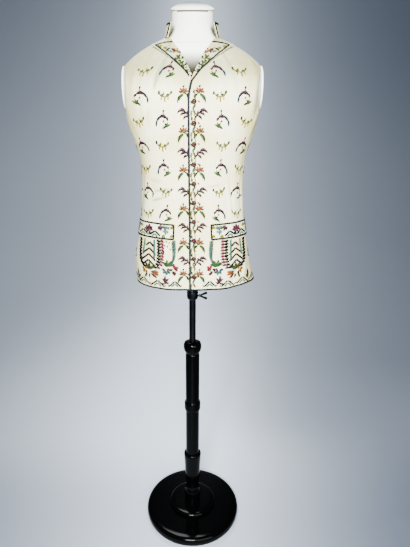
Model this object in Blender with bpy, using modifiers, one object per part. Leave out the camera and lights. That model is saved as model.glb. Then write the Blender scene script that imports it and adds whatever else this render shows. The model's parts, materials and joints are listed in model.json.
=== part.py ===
"""An embroidered waistcoat worn by a limbless dress form on a turned stand.

Metres, +Z up, the front of the waistcoat towards -Y.  The wearer's left side is +X.  The origin is
the centre of the base's flat underside.  Every piece of cloth is a thin wall on the same rounded
figure: a height and an angle round the body name a point of it, with 0 degrees at the centre front,
90 at the wearer's left side and 180 at the centre back.
"""
import math
from collections import namedtuple

import bmesh
import bpy
from mathutils import Matrix, Vector

MERGE = 0.00005
PIECE_GAP = 0.0003
LAYER_GAP = 0.0006
NORMAL_TURN_DEG = 0.5
NORMAL_RISE = 0.001
SEARCH_STEPS = 40
EDGE_PASSES = 4

# The figure: one row for each level section of the body.
Section = namedtuple("Section", "height half_width front back squareness lean")
FIGURE = (
    Section(0.880, 0.1635, 0.1165, 0.1110, 2.30, 0.0),
    Section(0.950, 0.1655, 0.1155, 0.1150, 2.30, 0.0),
    Section(1.020, 0.1555, 0.1120, 0.1140, 2.30, 0.0),
    Section(1.100, 0.1455, 0.1055, 0.1035, 2.25, 0.0),
    Section(1.180, 0.1418, 0.1015, 0.0955, 2.25, 0.0),
    Section(1.240, 0.1450, 0.1040, 0.0970, 2.30, 0.0),
    Section(1.300, 0.1640, 0.1105, 0.1040, 2.40, 0.0),
    Section(1.350, 0.1780, 0.1130, 0.1100, 2.50, 0.0),
    Section(1.400, 0.1870, 0.1085, 0.1135, 2.60, 0.0),
    Section(1.440, 0.1930, 0.0985, 0.1120, 2.60, 0.0),
    Section(1.468, 0.1880, 0.0875, 0.1060, 2.50, 0.0),
    Section(1.486, 0.1740, 0.0800, 0.1000, 2.40, 0.0),
    Section(1.510, 0.1450, 0.0715, 0.0900, 2.20, 0.0),
    Section(1.530, 0.1095, 0.0645, 0.0790, 2.10, -0.001),
    Section(1.546, 0.0740, 0.0590, 0.0680, 2.00, -0.003),
    Section(1.558, 0.0605, 0.0565, 0.0620, 2.00, -0.005),
    Section(1.572, 0.0550, 0.0550, 0.0575, 2.00, -0.008),
    Section(1.595, 0.0537, 0.0540, 0.0550, 2.00, -0.014),
    Section(1.635, 0.0537, 0.0540, 0.0540, 2.00, -0.024),
)

# How far the inside of the cloth stands off the figure.
Ease = namedtuple("Ease", "height side front back")
EASE = (
    Ease(0.880, 0.0030, 0.0045, 0.0050),
    Ease(0.930, 0.0045, 0.0040, 0.0050),
    Ease(1.020, 0.0028, 0.0030, 0.0040),
    Ease(1.180, 0.0024, 0.0026, 0.0036),
    Ease(1.400, 0.0024, 0.0024, 0.0030),
    Ease(1.486, 0.0030, 0.0024, 0.0026),
    Ease(1.560, 0.0034, 0.0026, 0.0026),
)

# The largest soft folds, as ridges pushed out of the cloth; angle and spread are degrees.
Fold = namedtuple("Fold", "angle height spread length depth")
FOLDS = (
    Fold(82.0, 0.868, 17.0, 0.052, 0.0245),
    Fold(-74.0, 0.990, 9.0, 0.070, 0.0030),
    Fold(-30.0, 0.875, 12.0, 0.060, 0.0040),
    Fold(38.0, 0.870, 10.0, 0.065, 0.0045),
    Fold(58.0, 1.150, 6.0, 0.075, 0.0036),
    Fold(73.0, 1.120, 6.0, 0.090, 0.0032),
    Fold(-66.0, 1.140, 7.0, 0.080, 0.0028),
    Fold(57.0, 1.440, 6.5, 0.060, 0.0036),
    Fold(-55.0, 1.435, 7.0, 0.065, 0.0040),
    Fold(-70.0, 1.370, 5.0, 0.050, 0.0026),
    Fold(122.0, 1.120, 8.0, 0.090, 0.0042),
    Fold(-126.0, 1.130, 8.0, 0.085, 0.0040),
    Fold(152.0, 1.080, 8.0, 0.090, 0.0034),
    Fold(-148.0, 1.060, 9.0, 0.090, 0.0036),
    Fold(118.0, 0.870, 12.0, 0.065, 0.0070),
    Fold(-112.0, 0.870, 12.0, 0.065, 0.0060),
    Fold(-150.0, 0.872, 9.0, 0.060, 0.0050),
    Fold(156.0, 0.872, 9.0, 0.060, 0.0045),
    Fold(125.0, 1.400, 8.0, 0.060, 0.0032),
    Fold(-128.0, 1.405, 8.0, 0.060, 0.0034),
)

# The cut of the waistcoat.
WALL = 0.0017
HEM_Z = 0.885
ARMHOLE_LOW_Z = 1.338
ARMHOLE_TOP_Z = 1.490
ARMHOLE_FRONT_DEG = 20.0
ARMHOLE_BACK_DEG = 23.0
HEM_RISE_LEFT = 0.0100
HEM_RISE_RIGHT = 0.0035
HEM_RISE_DEG = 30.0
HEM_RISE_TOP_Z = 0.960
NECK_SIDE_Z = 1.5530
NECK_FRONT_DIP = 0.0225
NECK_BACK_RISE = 0.003
SIDE_DEG = 90.0
BACK_DEG = 180.0
LAP_FULL_X = 0.016
LAP_START_X = 0.046
FRONT_COLUMNS = 15
BACK_COLUMNS = 11
SKIRT_ROWS = 18
ARMHOLE_ROWS = 10
SHOULDER_ROWS = 4

# The front edges: x of each front's own edge at a height, before the side's sign.
Edge = namedtuple("Edge", "height x")
OVER_EDGE = (
    Edge(0.885, -0.0099),
    Edge(1.052, -0.0099),
    Edge(1.224, -0.0116),
    Edge(1.385, -0.0126),
    Edge(1.415, -0.0085),
    Edge(1.430, -0.0043),
    Edge(1.4334, -0.0028),
    Edge(1.4626, 0.0105),
    Edge(1.4952, 0.0277),
    Edge(1.5311, 0.0513),
    Edge(1.5450, 0.0560),
)
UNDER_EDGE = (
    Edge(0.885, -0.0110),
    Edge(1.375, -0.0110),
    Edge(1.415, -0.0060),
    Edge(1.4334, 0.0015),
    Edge(1.4626, 0.0115),
    Edge(1.4952, 0.0280),
    Edge(1.5311, 0.0513),
    Edge(1.5450, 0.0560),
)

# The lapels: the roll line and the outer edge, from the break point up.
Lapel = namedtuple("Lapel", "share roll_x roll_z edge_x edge_z")
LAPEL = (
    Lapel(0.00, -0.0035, 1.4334, -0.0025, 1.4286),
    Lapel(0.33, 0.0100, 1.4626, 0.0275, 1.4621),
    Lapel(0.66, 0.0272, 1.4952, 0.0623, 1.4897),
    Lapel(1.00, 0.0509, 1.5311, 0.1004, 1.5144),
)
LAPEL_WALL = 0.0016
LAPEL_TIP_LIFT = 0.0075
LAPEL_MID_LIFT = 0.0022
LAPEL_TOP_BULGE = 0.0035
LAPEL_UNDER_START = 0.13
LAPEL_ROWS = 12
LAPEL_COLUMNS = 6

# The stand collar.
COLLAR_WALL = 0.0020
COLLAR_END_DEG = 53.0
COLLAR_FOOT_RISE = 0.0019
COLLAR_TOP_Z = 1.5825
COLLAR_END_DROP = 0.0080
COLLAR_SIDE_ROOM = 0.0115
COLLAR_BACK_ROOM = 0.0075
COLLAR_COLUMNS = 30
COLLAR_ROWS = 4

# The pocket flaps: heights at the front and side ends, and the ends' angles.
FLAP_WALL = 0.0018
FLAP_FRONT_X = 0.0490
FLAP_SIDE_DEG = 83.0
FLAP_FRONT_TOP_Z = 1.0686
FLAP_SIDE_TOP_Z = 1.0745
FLAP_HEIGHT = 0.0415
FLAP_COLUMNS = 12
FLAP_ROWS = 3

# The buttons, down the centre front.
BUTTON_COUNT = 10
BUTTON_TOP_Z = 1.3805
BUTTON_LOW_Z = 0.9245
BUTTON_X = 0.0038
BUTTON_RADIUS = 0.0068
BUTTON_HEIGHT = 0.0042
BUTTON_STEPS = 14
# The button's outline as shares of its radius and height, from the top down.
Dome = namedtuple("Dome", "wide tall")
BUTTON_SHAPE = (
    Dome(0.0, 1.0),
    Dome(0.55, 0.90),
    Dome(0.88, 0.62),
    Dome(1.0, 0.30),
    Dome(0.86, 0.0),
    Dome(0.0, 0.0),
)

# The dress form.
NECK_TILT_DEG = 15.0
NECK_TILT_Z = 1.560
ARM_CUT_X = 0.1830
FORM_COLUMNS = 32
FORM_LEVELS = (
    *(0.905, 0.935, 0.965, 1.000, 1.035, 1.070, 1.110, 1.150, 1.190, 1.225, 1.260, 1.290, 1.320),
    *(1.350, 1.380, 1.405, 1.430, 1.450, 1.466, 1.478, 1.488, 1.500, 1.513, 1.526, 1.536, 1.5445),
    *(1.552, 1.560, 1.570, 1.588, 1.6122),
)
FORM_LOW_Z = FORM_LEVELS[0]
NECK_TOP_Z = FORM_LEVELS[-1]
FORM_BORE_RADIUS = 0.0118
FORM_BORE_TOP_Z = 1.290
CAP_RADIUS = 0.0568
CAP_RIM = 0.0070
CAP_RISE = 0.0205
CAP_STEPS = 32
CAP_DOME_DEGS = (20.0, 40.0, 58.0, 74.0)
CAP_FOOT_TAPER = 0.25
PLATE_HALF_DEPTH = 0.0490
PLATE_HALF_HEIGHT = 0.0560
PLATE_Z = 1.4300
PLATE_Y = 0.0060
PLATE_THICK = 0.0050
PLATE_ROUND = 0.0020
PLATE_STEPS = 32
SOCKET_RADIUS = 0.0170
SOCKET_FLANGE_RADIUS = 0.0450
SOCKET_FLANGE_THICK = 0.0050
SOCKET_STEPS = 28

# The stand: each turned piece's profile rows are radius and height, from the top down.
Turn = namedtuple("Turn", "radius height")
BASE_PROFILE = (
    Turn(0.0, 0.0340),
    Turn(0.1440, 0.0340),
    Turn(0.1560, 0.0325),
    Turn(0.1630, 0.0270),
    Turn(0.1650, 0.0190),
    Turn(0.1640, 0.0090),
    Turn(0.1600, 0.0025),
    Turn(0.1550, 0.0),
    Turn(0.0, 0.0),
)
DISC_PROFILE = (
    Turn(0.0, 0.0500),
    Turn(0.0660, 0.0500),
    Turn(0.0750, 0.0485),
    Turn(0.0800, 0.0440),
    Turn(0.0810, 0.0385),
    Turn(0.0795, 0.0343),
    Turn(0.0, 0.0343),
)
FOOT_PROFILE = (
    Turn(0.0, 0.2470),
    Turn(0.0262, 0.2470),
    Turn(0.0296, 0.2435),
    Turn(0.0300, 0.2370),
    Turn(0.0290, 0.2250),
    Turn(0.0272, 0.1950),
    Turn(0.0266, 0.1700),
    Turn(0.0262, 0.1480),
    Turn(0.0240, 0.1360),
    Turn(0.0218, 0.1260),
    Turn(0.0218, 0.1080),
    Turn(0.0238, 0.0980),
    Turn(0.0285, 0.0880),
    Turn(0.0293, 0.0780),
    Turn(0.0270, 0.0680),
    Turn(0.0270, 0.0503),
    Turn(0.0, 0.0503),
)
COLUMN_PROFILE = (
    Turn(0.0, 0.6317),
    Turn(0.0230, 0.6317),
    Turn(0.0230, 0.4520),
    Turn(0.0258, 0.4500),
    Turn(0.0272, 0.4450),
    Turn(0.0272, 0.4240),
    Turn(0.0258, 0.4190),
    Turn(0.0230, 0.4170),
    Turn(0.0230, 0.2473),
    Turn(0.0, 0.2473),
)
COLUMN_CAP_PROFILE = (
    Turn(0.0115, 0.6710),
    Turn(0.0190, 0.6710),
    Turn(0.0262, 0.6675),
    Turn(0.0290, 0.6600),
    Turn(0.0295, 0.6510),
    Turn(0.0280, 0.6420),
    Turn(0.0245, 0.6350),
    Turn(0.0230, 0.6320),
    Turn(0.0115, 0.6320),
)
BASE_STEPS = 48
DISC_STEPS = 36
COLUMN_STEPS = 24
TUBE_RADIUS = 0.0110
TUBE_TOP_Z = 1.150
TUBE_STEPS = 20
CLAMP_LOW_Z = 0.8160
CLAMP_TOP_Z = 0.8400
CLAMP_BORE_RADIUS = 0.0114
CLAMP_PROFILE = (
    Turn(CLAMP_BORE_RADIUS, CLAMP_TOP_Z),
    Turn(0.0176, 0.8400),
    Turn(0.0182, 0.8390),
    Turn(0.0182, 0.8362),
    Turn(0.0172, 0.8350),
    Turn(0.0178, 0.8310),
    Turn(0.0178, 0.8230),
    Turn(0.0166, 0.8180),
    Turn(0.0145, CLAMP_LOW_Z),
    Turn(CLAMP_BORE_RADIUS, CLAMP_LOW_Z),
)
CLAMP_STEPS = 24
SCREW_Z = 0.8270
SCREW_RADIUS = 0.0030
SCREW_HOLE_RADIUS = 0.0034
SCREW_IN_X = 0.0116
SCREW_HUB_X = 0.0200
SCREW_HUB_RADIUS = 0.0052
SCREW_HUB_LENGTH = 0.0090
SCREW_STEPS = 16
SCREW_HUB_DOME = 0.0010
SCREW_HUB_SHOULDER = 0.0020
SCREW_HUB_CROWN_SHARE = 0.70
SCREW_HUB_NECK_SHARE = 0.90
SCREW_HOLE_LENGTH = 0.0200
SCREW_HOLE_START_IN = 0.0040
QUARTER_TURN_DEG = 90.0
WING_TIP_X = 0.0470
WING_TIP_Z = 0.0115
WING_ROOT_WIDTH = 0.0040
WING_TIP_RADIUS = 0.0045
WING_THICK = 0.0030
WING_TIP_DROP_SHARE = 0.60
WING_ROOT_OVERLAP = 0.0010
WING_TIP_DEGS = (-50.0, 0.0, 50.0, 100.0)

# The finishes: a colour each, then how rough, metallic and lacquered each one is.
CLOTH_COLOUR = (0.86, 0.83, 0.73)
BACK_COLOUR = (0.84, 0.81, 0.72)
FORM_COLOUR = (0.87, 0.86, 0.80)
BUTTON_COLOUR = (0.42, 0.10, 0.16)
BLACK_COLOUR = (0.012, 0.012, 0.013)
TUBE_COLOUR = (0.060, 0.064, 0.072)
Finish = namedtuple("Finish", "colour roughness metallic coat")
SILK = Finish(CLOTH_COLOUR, 0.62, 0.0, 0.0)
LINEN = Finish(BACK_COLOUR, 0.75, 0.0, 0.0)
BUTTON_THREAD = Finish(BUTTON_COLOUR, 0.65, 0.0, 0.0)
JERSEY = Finish(FORM_COLOUR, 0.80, 0.0, 0.0)
DARK_STEEL = Finish(TUBE_COLOUR, 0.30, 1.0, 0.0)
TUBE_STEEL = Finish(TUBE_COLOUR, 0.25, 1.0, 0.0)
LACQUER = Finish(BLACK_COLOUR, 0.12, 0.0, 1.0)


def collection_named(name):
    """A collection linked to the scene."""
    made = bpy.data.collections.new(name)
    bpy.context.scene.collection.children.link(made)
    return made


def clear_scene():
    """Take away whatever objects the file opened with."""
    for thing in list(bpy.data.objects):
        bpy.data.objects.remove(thing, do_unlink=True)


def finish_material(name, finish):
    """A Principled material of one finish."""
    made = bpy.data.materials.new(name)
    made.use_nodes = True
    shader = made.node_tree.nodes["Principled BSDF"]
    shader.inputs["Base Color"].default_value = (*finish.colour, 1.0)
    shader.inputs["Roughness"].default_value = finish.roughness
    shader.inputs["Metallic"].default_value = finish.metallic
    shader.inputs["Coat Weight"].default_value = finish.coat
    return made


def object_from(bm, name, material, home):
    """Turn a bmesh into a named object in a collection."""
    mesh = bpy.data.meshes.new(name)
    bm.to_mesh(mesh)
    bm.free()
    made = bpy.data.objects.new(name, mesh)
    if material:
        mesh.materials.append(material)
    mesh.shade_smooth()
    home.objects.link(made)
    return made


def eased(values, low, high, share):
    """Cubic step between two rows, with slopes that never overshoot."""
    slope_low, slope_high = values
    rise = high - low
    return (
        low
        + share * slope_low
        + share * share * (3.0 * rise - 2.0 * slope_low - slope_high)
        + share**3 * (slope_low + slope_high - 2.0 * rise)
    )


def row_slope(table, row, column):
    """Slope of a column at a row, from its two neighbours, level at a turn."""
    last = len(table) - 1
    before = table[max(row - 1, 0)]
    here = table[row]
    after = table[min(row + 1, last)]
    rise_in = (here[column] - before[column]) / max(here[0] - before[0], 1e-9)
    rise_out = (after[column] - here[column]) / max(after[0] - here[0], 1e-9)
    if row == 0:
        return rise_out
    if row == last:
        return rise_in
    if rise_in * rise_out <= 0.0:
        return 0.0
    return 2.0 * rise_in * rise_out / (rise_in + rise_out)


def read_table(table, place):
    """A smooth row between the rows of a table, at a place in its first column."""
    place = min(max(place, table[0][0]), table[-1][0])
    row = 0
    while row < len(table) - 2 and place > table[row + 1][0]:
        row += 1
    low, high = table[row], table[row + 1]
    span = high[0] - low[0]
    share = (place - low[0]) / span
    result = [place]
    for column in range(1, len(low)):
        slopes = (row_slope(table, row, column) * span, row_slope(table, row + 1, column) * span)
        result.append(eased(slopes, low[column], high[column], share))
    return type(low)(*result)


def smooth_step(share):
    """From 0 to 1 with level ends."""
    share = min(max(share, 0.0), 1.0)
    return share * share * (3.0 - 2.0 * share)


def figure_point(angle, height, ease=None, push=0.0):
    """A point of the figure, at an angle in degrees and a height."""
    section = read_table(FIGURE, height)
    turn = math.radians(angle)
    across, ahead = math.sin(turn), math.cos(turn)
    width = section.half_width
    depth = section.front if ahead > 0.0 else section.back
    if ease:
        width += ease.side
        depth += ease.front if ahead > 0.0 else ease.back
    power = section.squareness
    total = (abs(across) / width) ** power + (abs(ahead) / depth) ** power
    reach = total ** (-1.0 / power) + push
    return Vector((reach * across, section.lean - reach * ahead, height))


def fold_push(angle, height):
    """How far the folds push the cloth out at a point."""
    angle = (angle + 180.0) % 360.0 - 180.0
    push = 0.0
    for fold in FOLDS:
        apart = (angle - fold.angle + 180.0) % 360.0 - 180.0
        across = apart / fold.spread
        along = (height - fold.height) / fold.length
        push += fold.depth * math.exp(-across * across - along * along)
    return push


def cloth_base(angle, height):
    """A point of the inside of the cloth."""
    return figure_point(angle, height, read_table(EASE, height), fold_push(angle, height))


def cloth_normal(angle, height):
    """The outward direction of the cloth."""
    before, after = angle - NORMAL_TURN_DEG, angle + NORMAL_TURN_DEG
    along = cloth_base(after, height) - cloth_base(before, height)
    up = cloth_base(angle, height + NORMAL_RISE) - cloth_base(angle, height - NORMAL_RISE)
    return along.cross(up).normalized()


def cloth_point(angle, height, out=0.0):
    """A point of the cloth, moved out from its inside."""
    return cloth_base(angle, height) + cloth_normal(angle, height) * out


def angle_at_x(x, height):
    """The angle at which the front of the cloth has a given x."""
    side = -1.0 if x < 0.0 else 1.0
    low, high = 0.0, SIDE_DEG
    for _ in range(SEARCH_STEPS):
        middle = (low + high) / 2.0
        if cloth_base(side * middle, height).x * side < abs(x):
            low = middle
        else:
            high = middle
    return side * (low + high) / 2.0


def seam_turn(reach):
    """Half the gap of a seam, as degrees round the body, at a reach from its middle."""
    return math.degrees(PIECE_GAP / 2.0 / reach)


def neck_line(angle):
    """Height of the neck seam at an angle."""
    ahead = math.cos(math.radians(angle))
    return NECK_SIDE_Z - NECK_FRONT_DIP * max(ahead, 0.0) + NECK_BACK_RISE * max(-ahead, 0.0)


def hem_rise(angle):
    """How much higher the hem hangs at an angle: it lifts at the side seams."""
    rise = HEM_RISE_LEFT if angle > 0.0 else HEM_RISE_RIGHT
    apart = (abs(angle) - SIDE_DEG) / HEM_RISE_DEG
    return rise * math.exp(-apart * apart)


def row_height(angle, level):
    """Height of a panel's row at an angle: the end rows bend to meet the neck seam and hem."""
    neck_share = smooth_step((level - ARMHOLE_TOP_Z) / (NECK_SIDE_Z - ARMHOLE_TOP_Z))
    hem_share = smooth_step((HEM_RISE_TOP_Z - level) / (HEM_RISE_TOP_Z - HEM_Z))
    return level + neck_share * (neck_line(angle) - NECK_SIDE_Z) + hem_share * hem_rise(angle)


def armhole_share(level):
    """0 at the ends of the armhole and 1 at its middle height."""
    share = (level - ARMHOLE_LOW_Z) / (ARMHOLE_TOP_Z - ARMHOLE_LOW_Z)
    if share <= 0.0 or share >= 1.0:
        return 0.0
    return 2.0 * math.sqrt(share * (1.0 - share))


def panel_levels():
    """Heights of the rows of every panel, closer at the ends of the armhole."""
    levels = []
    for row in range(SKIRT_ROWS):
        levels.append(HEM_Z + (ARMHOLE_LOW_Z - HEM_Z) * row / SKIRT_ROWS)
    for row in range(ARMHOLE_ROWS):
        share = (1.0 - math.cos(math.pi * row / ARMHOLE_ROWS)) / 2.0
        levels.append(ARMHOLE_LOW_Z + (ARMHOLE_TOP_Z - ARMHOLE_LOW_Z) * share)
    for row in range(SHOULDER_ROWS + 1):
        levels.append(ARMHOLE_TOP_Z + (NECK_SIDE_Z - ARMHOLE_TOP_Z) * row / SHOULDER_ROWS)
    return levels


def sheet_object(rows, name, wall, side, material, home):
    """An open sheet from rows of points, given its wall by Solidify."""
    bm = bmesh.new()
    grid = [[bm.verts.new(point) for point in row] for row in rows]
    for lower, upper in zip(grid, grid[1:]):
        for column in range(len(lower) - 1):
            corners = [lower[column], lower[column + 1], upper[column + 1], upper[column]]
            if side < 0.0:
                corners.reverse()
            bm.faces.new(corners)
    made = object_from(bm, name, material, home)
    shell = made.modifiers.new("wall", "SOLIDIFY")
    shell.thickness = wall
    shell.offset = 1.0
    return made


def lap_lift(angle, height):
    """How far the over front stands out where it covers the under front."""
    x = cloth_base(angle, height).x
    share = smooth_step((LAP_START_X - x) / (LAP_START_X - LAP_FULL_X))
    return share * (WALL + LAYER_GAP)


def edge_angle(side, edge, level):
    """The angle of a front's own edge on one of its rows."""
    angle = 0.0
    for _ in range(EDGE_PASSES):
        height = row_height(angle, level)
        angle = angle_at_x(side * read_table(edge, height).x, height)
    return angle


def build_front(side, edge, covers, name, material, home):
    """A front panel: hem to shoulder, its own front edge to the side seam and armhole."""
    rows = []
    for level in panel_levels():
        first = edge_angle(side, edge, level)
        seam = seam_turn(read_table(FIGURE, level).half_width)
        last = side * (SIDE_DEG - seam - ARMHOLE_FRONT_DEG * armhole_share(level))
        row = []
        for column in range(FRONT_COLUMNS + 1):
            angle = first + (last - first) * column / FRONT_COLUMNS
            height = row_height(angle, level)
            lift = lap_lift(angle, height) if covers else 0.0
            row.append(cloth_point(angle, height, lift))
        rows.append(row)
    return sheet_object(rows, name, WALL, side, material, home)


def build_back(side, name, material, home):
    """A back panel: side seam and armhole to the centre-back seam."""
    rows = []
    for level in panel_levels():
        section = read_table(FIGURE, level)
        first = SIDE_DEG + seam_turn(section.half_width) + ARMHOLE_BACK_DEG * armhole_share(level)
        last = BACK_DEG - seam_turn(section.back)
        row = []
        for column in range(BACK_COLUMNS + 1):
            angle = side * (first + (last - first) * column / BACK_COLUMNS)
            row.append(cloth_point(angle, row_height(angle, level)))
        rows.append(row)
    return sheet_object(rows, name, WALL, side, material, home)


def lapel_point(across, share, side, covers):
    """A point of a lapel: across runs from the roll line to the outer edge."""
    line = read_table(LAPEL, share)
    x = line.roll_x + (line.edge_x - line.roll_x) * across
    height = line.roll_z + (line.edge_z - line.roll_z) * across
    height += LAPEL_TOP_BULGE * math.sin(math.pi * across) * smooth_step(share * 2.0 - 1.0)
    angle = angle_at_x(side * x, height)
    lift = WALL + LAYER_GAP
    lift += LAPEL_MID_LIFT * math.sin(math.pi * across / 2.0) * share
    lift += LAPEL_TIP_LIFT * across**2 * share**3
    if covers:
        lift += lap_lift(angle, height)
    return cloth_point(angle, height, lift)


def build_lapel(side, covers, name, material, home):
    """A turned-back lapel lying on its front."""
    rows = []
    for row in range(LAPEL_ROWS + 1):
        start = 0.0 if covers else LAPEL_UNDER_START
        share = start + (1.0 - start) * row / LAPEL_ROWS
        rows.append(
            [
                lapel_point(column / LAPEL_COLUMNS, share, side, covers)
                for column in range(LAPEL_COLUMNS + 1)
            ]
        )
    return sheet_object(rows, name, LAPEL_WALL, side, material, home)


def collar_point(angle, share):
    """A point of the collar's inside: share runs from the neck seam to the top edge."""
    foot = cloth_point(angle, neck_line(angle), WALL / 2.0)
    foot.z += COLLAR_FOOT_RISE
    top_z = COLLAR_TOP_Z - COLLAR_END_DROP * max(math.cos(math.radians(angle)), 0.0)
    room = Ease(top_z, COLLAR_SIDE_ROOM, COLLAR_SIDE_ROOM, COLLAR_BACK_ROOM)
    top = figure_point(angle, top_z, room)
    return foot.lerp(top, share)


def build_collar(material, home):
    """The stand collar, round the back and sides of the neck."""
    rows = []
    for row in range(COLLAR_ROWS + 1):
        share = row / COLLAR_ROWS
        points = []
        for column in range(COLLAR_COLUMNS + 1):
            turn = 2.0 * (BACK_DEG - COLLAR_END_DEG) * column / COLLAR_COLUMNS
            points.append(collar_point(COLLAR_END_DEG + turn, share))
        rows.append(points)
    return sheet_object(rows, "collar", COLLAR_WALL, 1.0, material, home)


def build_flap(side, name, material, home):
    """A pocket flap lying on its front, straight ended, its lower edge free."""
    rows = []
    for row in range(FLAP_ROWS + 1):
        drop = FLAP_HEIGHT * (1.0 - row / FLAP_ROWS)
        points = []
        first = abs(angle_at_x(FLAP_FRONT_X, FLAP_FRONT_TOP_Z))
        for column in range(FLAP_COLUMNS + 1):
            share = column / FLAP_COLUMNS
            angle = side * (first + (FLAP_SIDE_DEG - first) * share)
            height = FLAP_FRONT_TOP_Z + (FLAP_SIDE_TOP_Z - FLAP_FRONT_TOP_Z) * share - drop
            lift = WALL + LAYER_GAP + LAYER_GAP * drop / FLAP_HEIGHT
            points.append(cloth_point(angle, height, lift))
        rows.append(points)
    return sheet_object(rows, name, FLAP_WALL, side, material, home)


def turned_object(profile, steps, name, material, home):
    """A turned piece: its profile runs down the outer side, top to bottom."""
    bm = bmesh.new()
    line = [bm.verts.new((row.radius, 0.0, row.height)) for row in profile]
    for upper, lower in zip(line, line[1:]):
        bm.edges.new((upper, lower))
    if profile[0].radius > MERGE:
        bm.edges.new((line[-1], line[0]))
    made = object_from(bm, name, material, home)
    screw = made.modifiers.new("turn", "SCREW")
    screw.axis = "Z"
    screw.steps = steps
    screw.render_steps = steps
    screw.use_merge_vertices = True
    screw.merge_threshold = MERGE
    return made


def face_along(made, centre, outward):
    """Stand a piece turned about Z at a point, facing along a direction."""
    made.rotation_mode = "QUATERNION"
    made.rotation_quaternion = Vector((0.0, 0.0, 1.0)).rotation_difference(outward)
    made.location = centre


def build_buttons(material, home):
    """Ten domed covered buttons on the over front."""
    profile = [Turn(BUTTON_RADIUS * row.wide, BUTTON_HEIGHT * row.tall) for row in BUTTON_SHAPE]
    for number in range(BUTTON_COUNT):
        share = number / (BUTTON_COUNT - 1)
        height = BUTTON_TOP_Z + (BUTTON_LOW_Z - BUTTON_TOP_Z) * share
        name = f"button_{number + 1:02d}"
        made = turned_object(profile, BUTTON_STEPS, name, material, home)
        angle = angle_at_x(BUTTON_X, height)
        seat = 2.0 * (WALL + LAYER_GAP)
        face_along(made, cloth_point(angle, height, seat), cloth_normal(angle, height))


def form_row(height):
    """One ring of the dress form, flat where the arms are cut and tilted up the neck."""
    tilt_share = smooth_step((height - NECK_TILT_Z) / (NECK_TOP_Z - NECK_TILT_Z))
    tilt = tilt_share * math.tan(math.radians(NECK_TILT_DEG))
    middle = read_table(FIGURE, height).lean
    ring = []
    for column in range(FORM_COLUMNS):
        point = figure_point(360.0 * column / FORM_COLUMNS, height)
        point.x = min(max(point.x, -ARM_CUT_X), ARM_CUT_X)
        point.z += tilt * (point.y - middle)
        ring.append(point)
    return ring


def build_form(material, home, cutters):
    """The rigid foam torso, with a bore for the tube."""
    bm = bmesh.new()
    rings = []
    for height in FORM_LEVELS:
        rings.append([bm.verts.new(point) for point in form_row(height)])
    for lower, upper in zip(rings, rings[1:]):
        for column in range(FORM_COLUMNS):
            after = (column + 1) % FORM_COLUMNS
            bm.faces.new((lower[column], lower[after], upper[after], upper[column]))
    bm.faces.new(list(reversed(rings[0])))
    bm.faces.new(rings[-1])
    made = object_from(bm, "torso_form", material, home)
    bore = turned_object(
        (
            Turn(0.0, FORM_BORE_TOP_Z),
            Turn(FORM_BORE_RADIUS, FORM_BORE_TOP_Z),
            Turn(FORM_BORE_RADIUS, FORM_LOW_Z - FORM_BORE_RADIUS),
            Turn(0.0, FORM_LOW_Z - FORM_BORE_RADIUS),
        ),
        TUBE_STEPS,
        "tube_bore_cutter",
        None,
        cutters,
    )
    cut_with(made, bore)
    return made


def cut_with(made, cutter):
    """Take a cutter's space out of a piece."""
    cutter.hide_render = True
    cutter.display_type = "WIRE"
    cut = made.modifiers.new("cut", "BOOLEAN")
    cut.operation = "DIFFERENCE"
    cut.solver = "EXACT"
    cut.object = cutter


def build_neck_cap(material, home):
    """A shallow dome on the top of the neck, with a rounded rim."""
    dome = CAP_RISE - CAP_RIM
    profile = [Turn(0.0, CAP_RISE)]
    for degrees in CAP_DOME_DEGS:
        turn = math.radians(degrees)
        profile.append(Turn(CAP_RADIUS * math.sin(turn), CAP_RIM + dome * math.cos(turn)))
    profile.append(Turn(CAP_RADIUS, CAP_RIM))
    profile.append(Turn(CAP_RADIUS - CAP_RIM * CAP_FOOT_TAPER, 0.0))
    profile.append(Turn(0.0, 0.0))
    made = turned_object(profile, CAP_STEPS, "neck_cap", material, home)
    lean = read_table(FIGURE, NECK_TOP_Z).lean
    tilt = Matrix.Rotation(math.radians(NECK_TILT_DEG), 3, "X")
    up = tilt @ Vector((0.0, 0.0, 1.0))
    face_along(made, Vector((0.0, lean, NECK_TOP_Z)) + up * PIECE_GAP, up)
    return made


def build_arm_plate(side, name, material, home):
    """An oval plate on the flat end of the form's cut arm."""
    profile = (
        Turn(0.0, PLATE_THICK),
        Turn(1.0 - PLATE_ROUND / PLATE_HALF_DEPTH, PLATE_THICK),
        Turn(1.0, PLATE_THICK - PLATE_ROUND),
        Turn(1.0, 0.0),
        Turn(0.0, 0.0),
    )
    bm = bmesh.new()
    rings = []
    for row in profile[1:-1]:
        ring = []
        for step in range(PLATE_STEPS):
            turn = math.tau * step / PLATE_STEPS
            x = side * (ARM_CUT_X + PIECE_GAP + row.height)
            y = PLATE_Y + PLATE_HALF_DEPTH * row.radius * math.cos(turn)
            z = PLATE_Z + PLATE_HALF_HEIGHT * row.radius * math.sin(turn)
            ring.append(bm.verts.new((x, y, z)))
        rings.append(ring)
    faces = [list(rings[0]), list(reversed(rings[-1]))]
    for outer, inner in zip(rings, rings[1:]):
        for step in range(PLATE_STEPS):
            after = (step + 1) % PLATE_STEPS
            faces.append([outer[step], inner[step], inner[after], outer[after]])
    for corners in faces:
        if side < 0.0:
            corners.reverse()
        bm.faces.new(corners)
    return object_from(bm, name, material, home)


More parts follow.
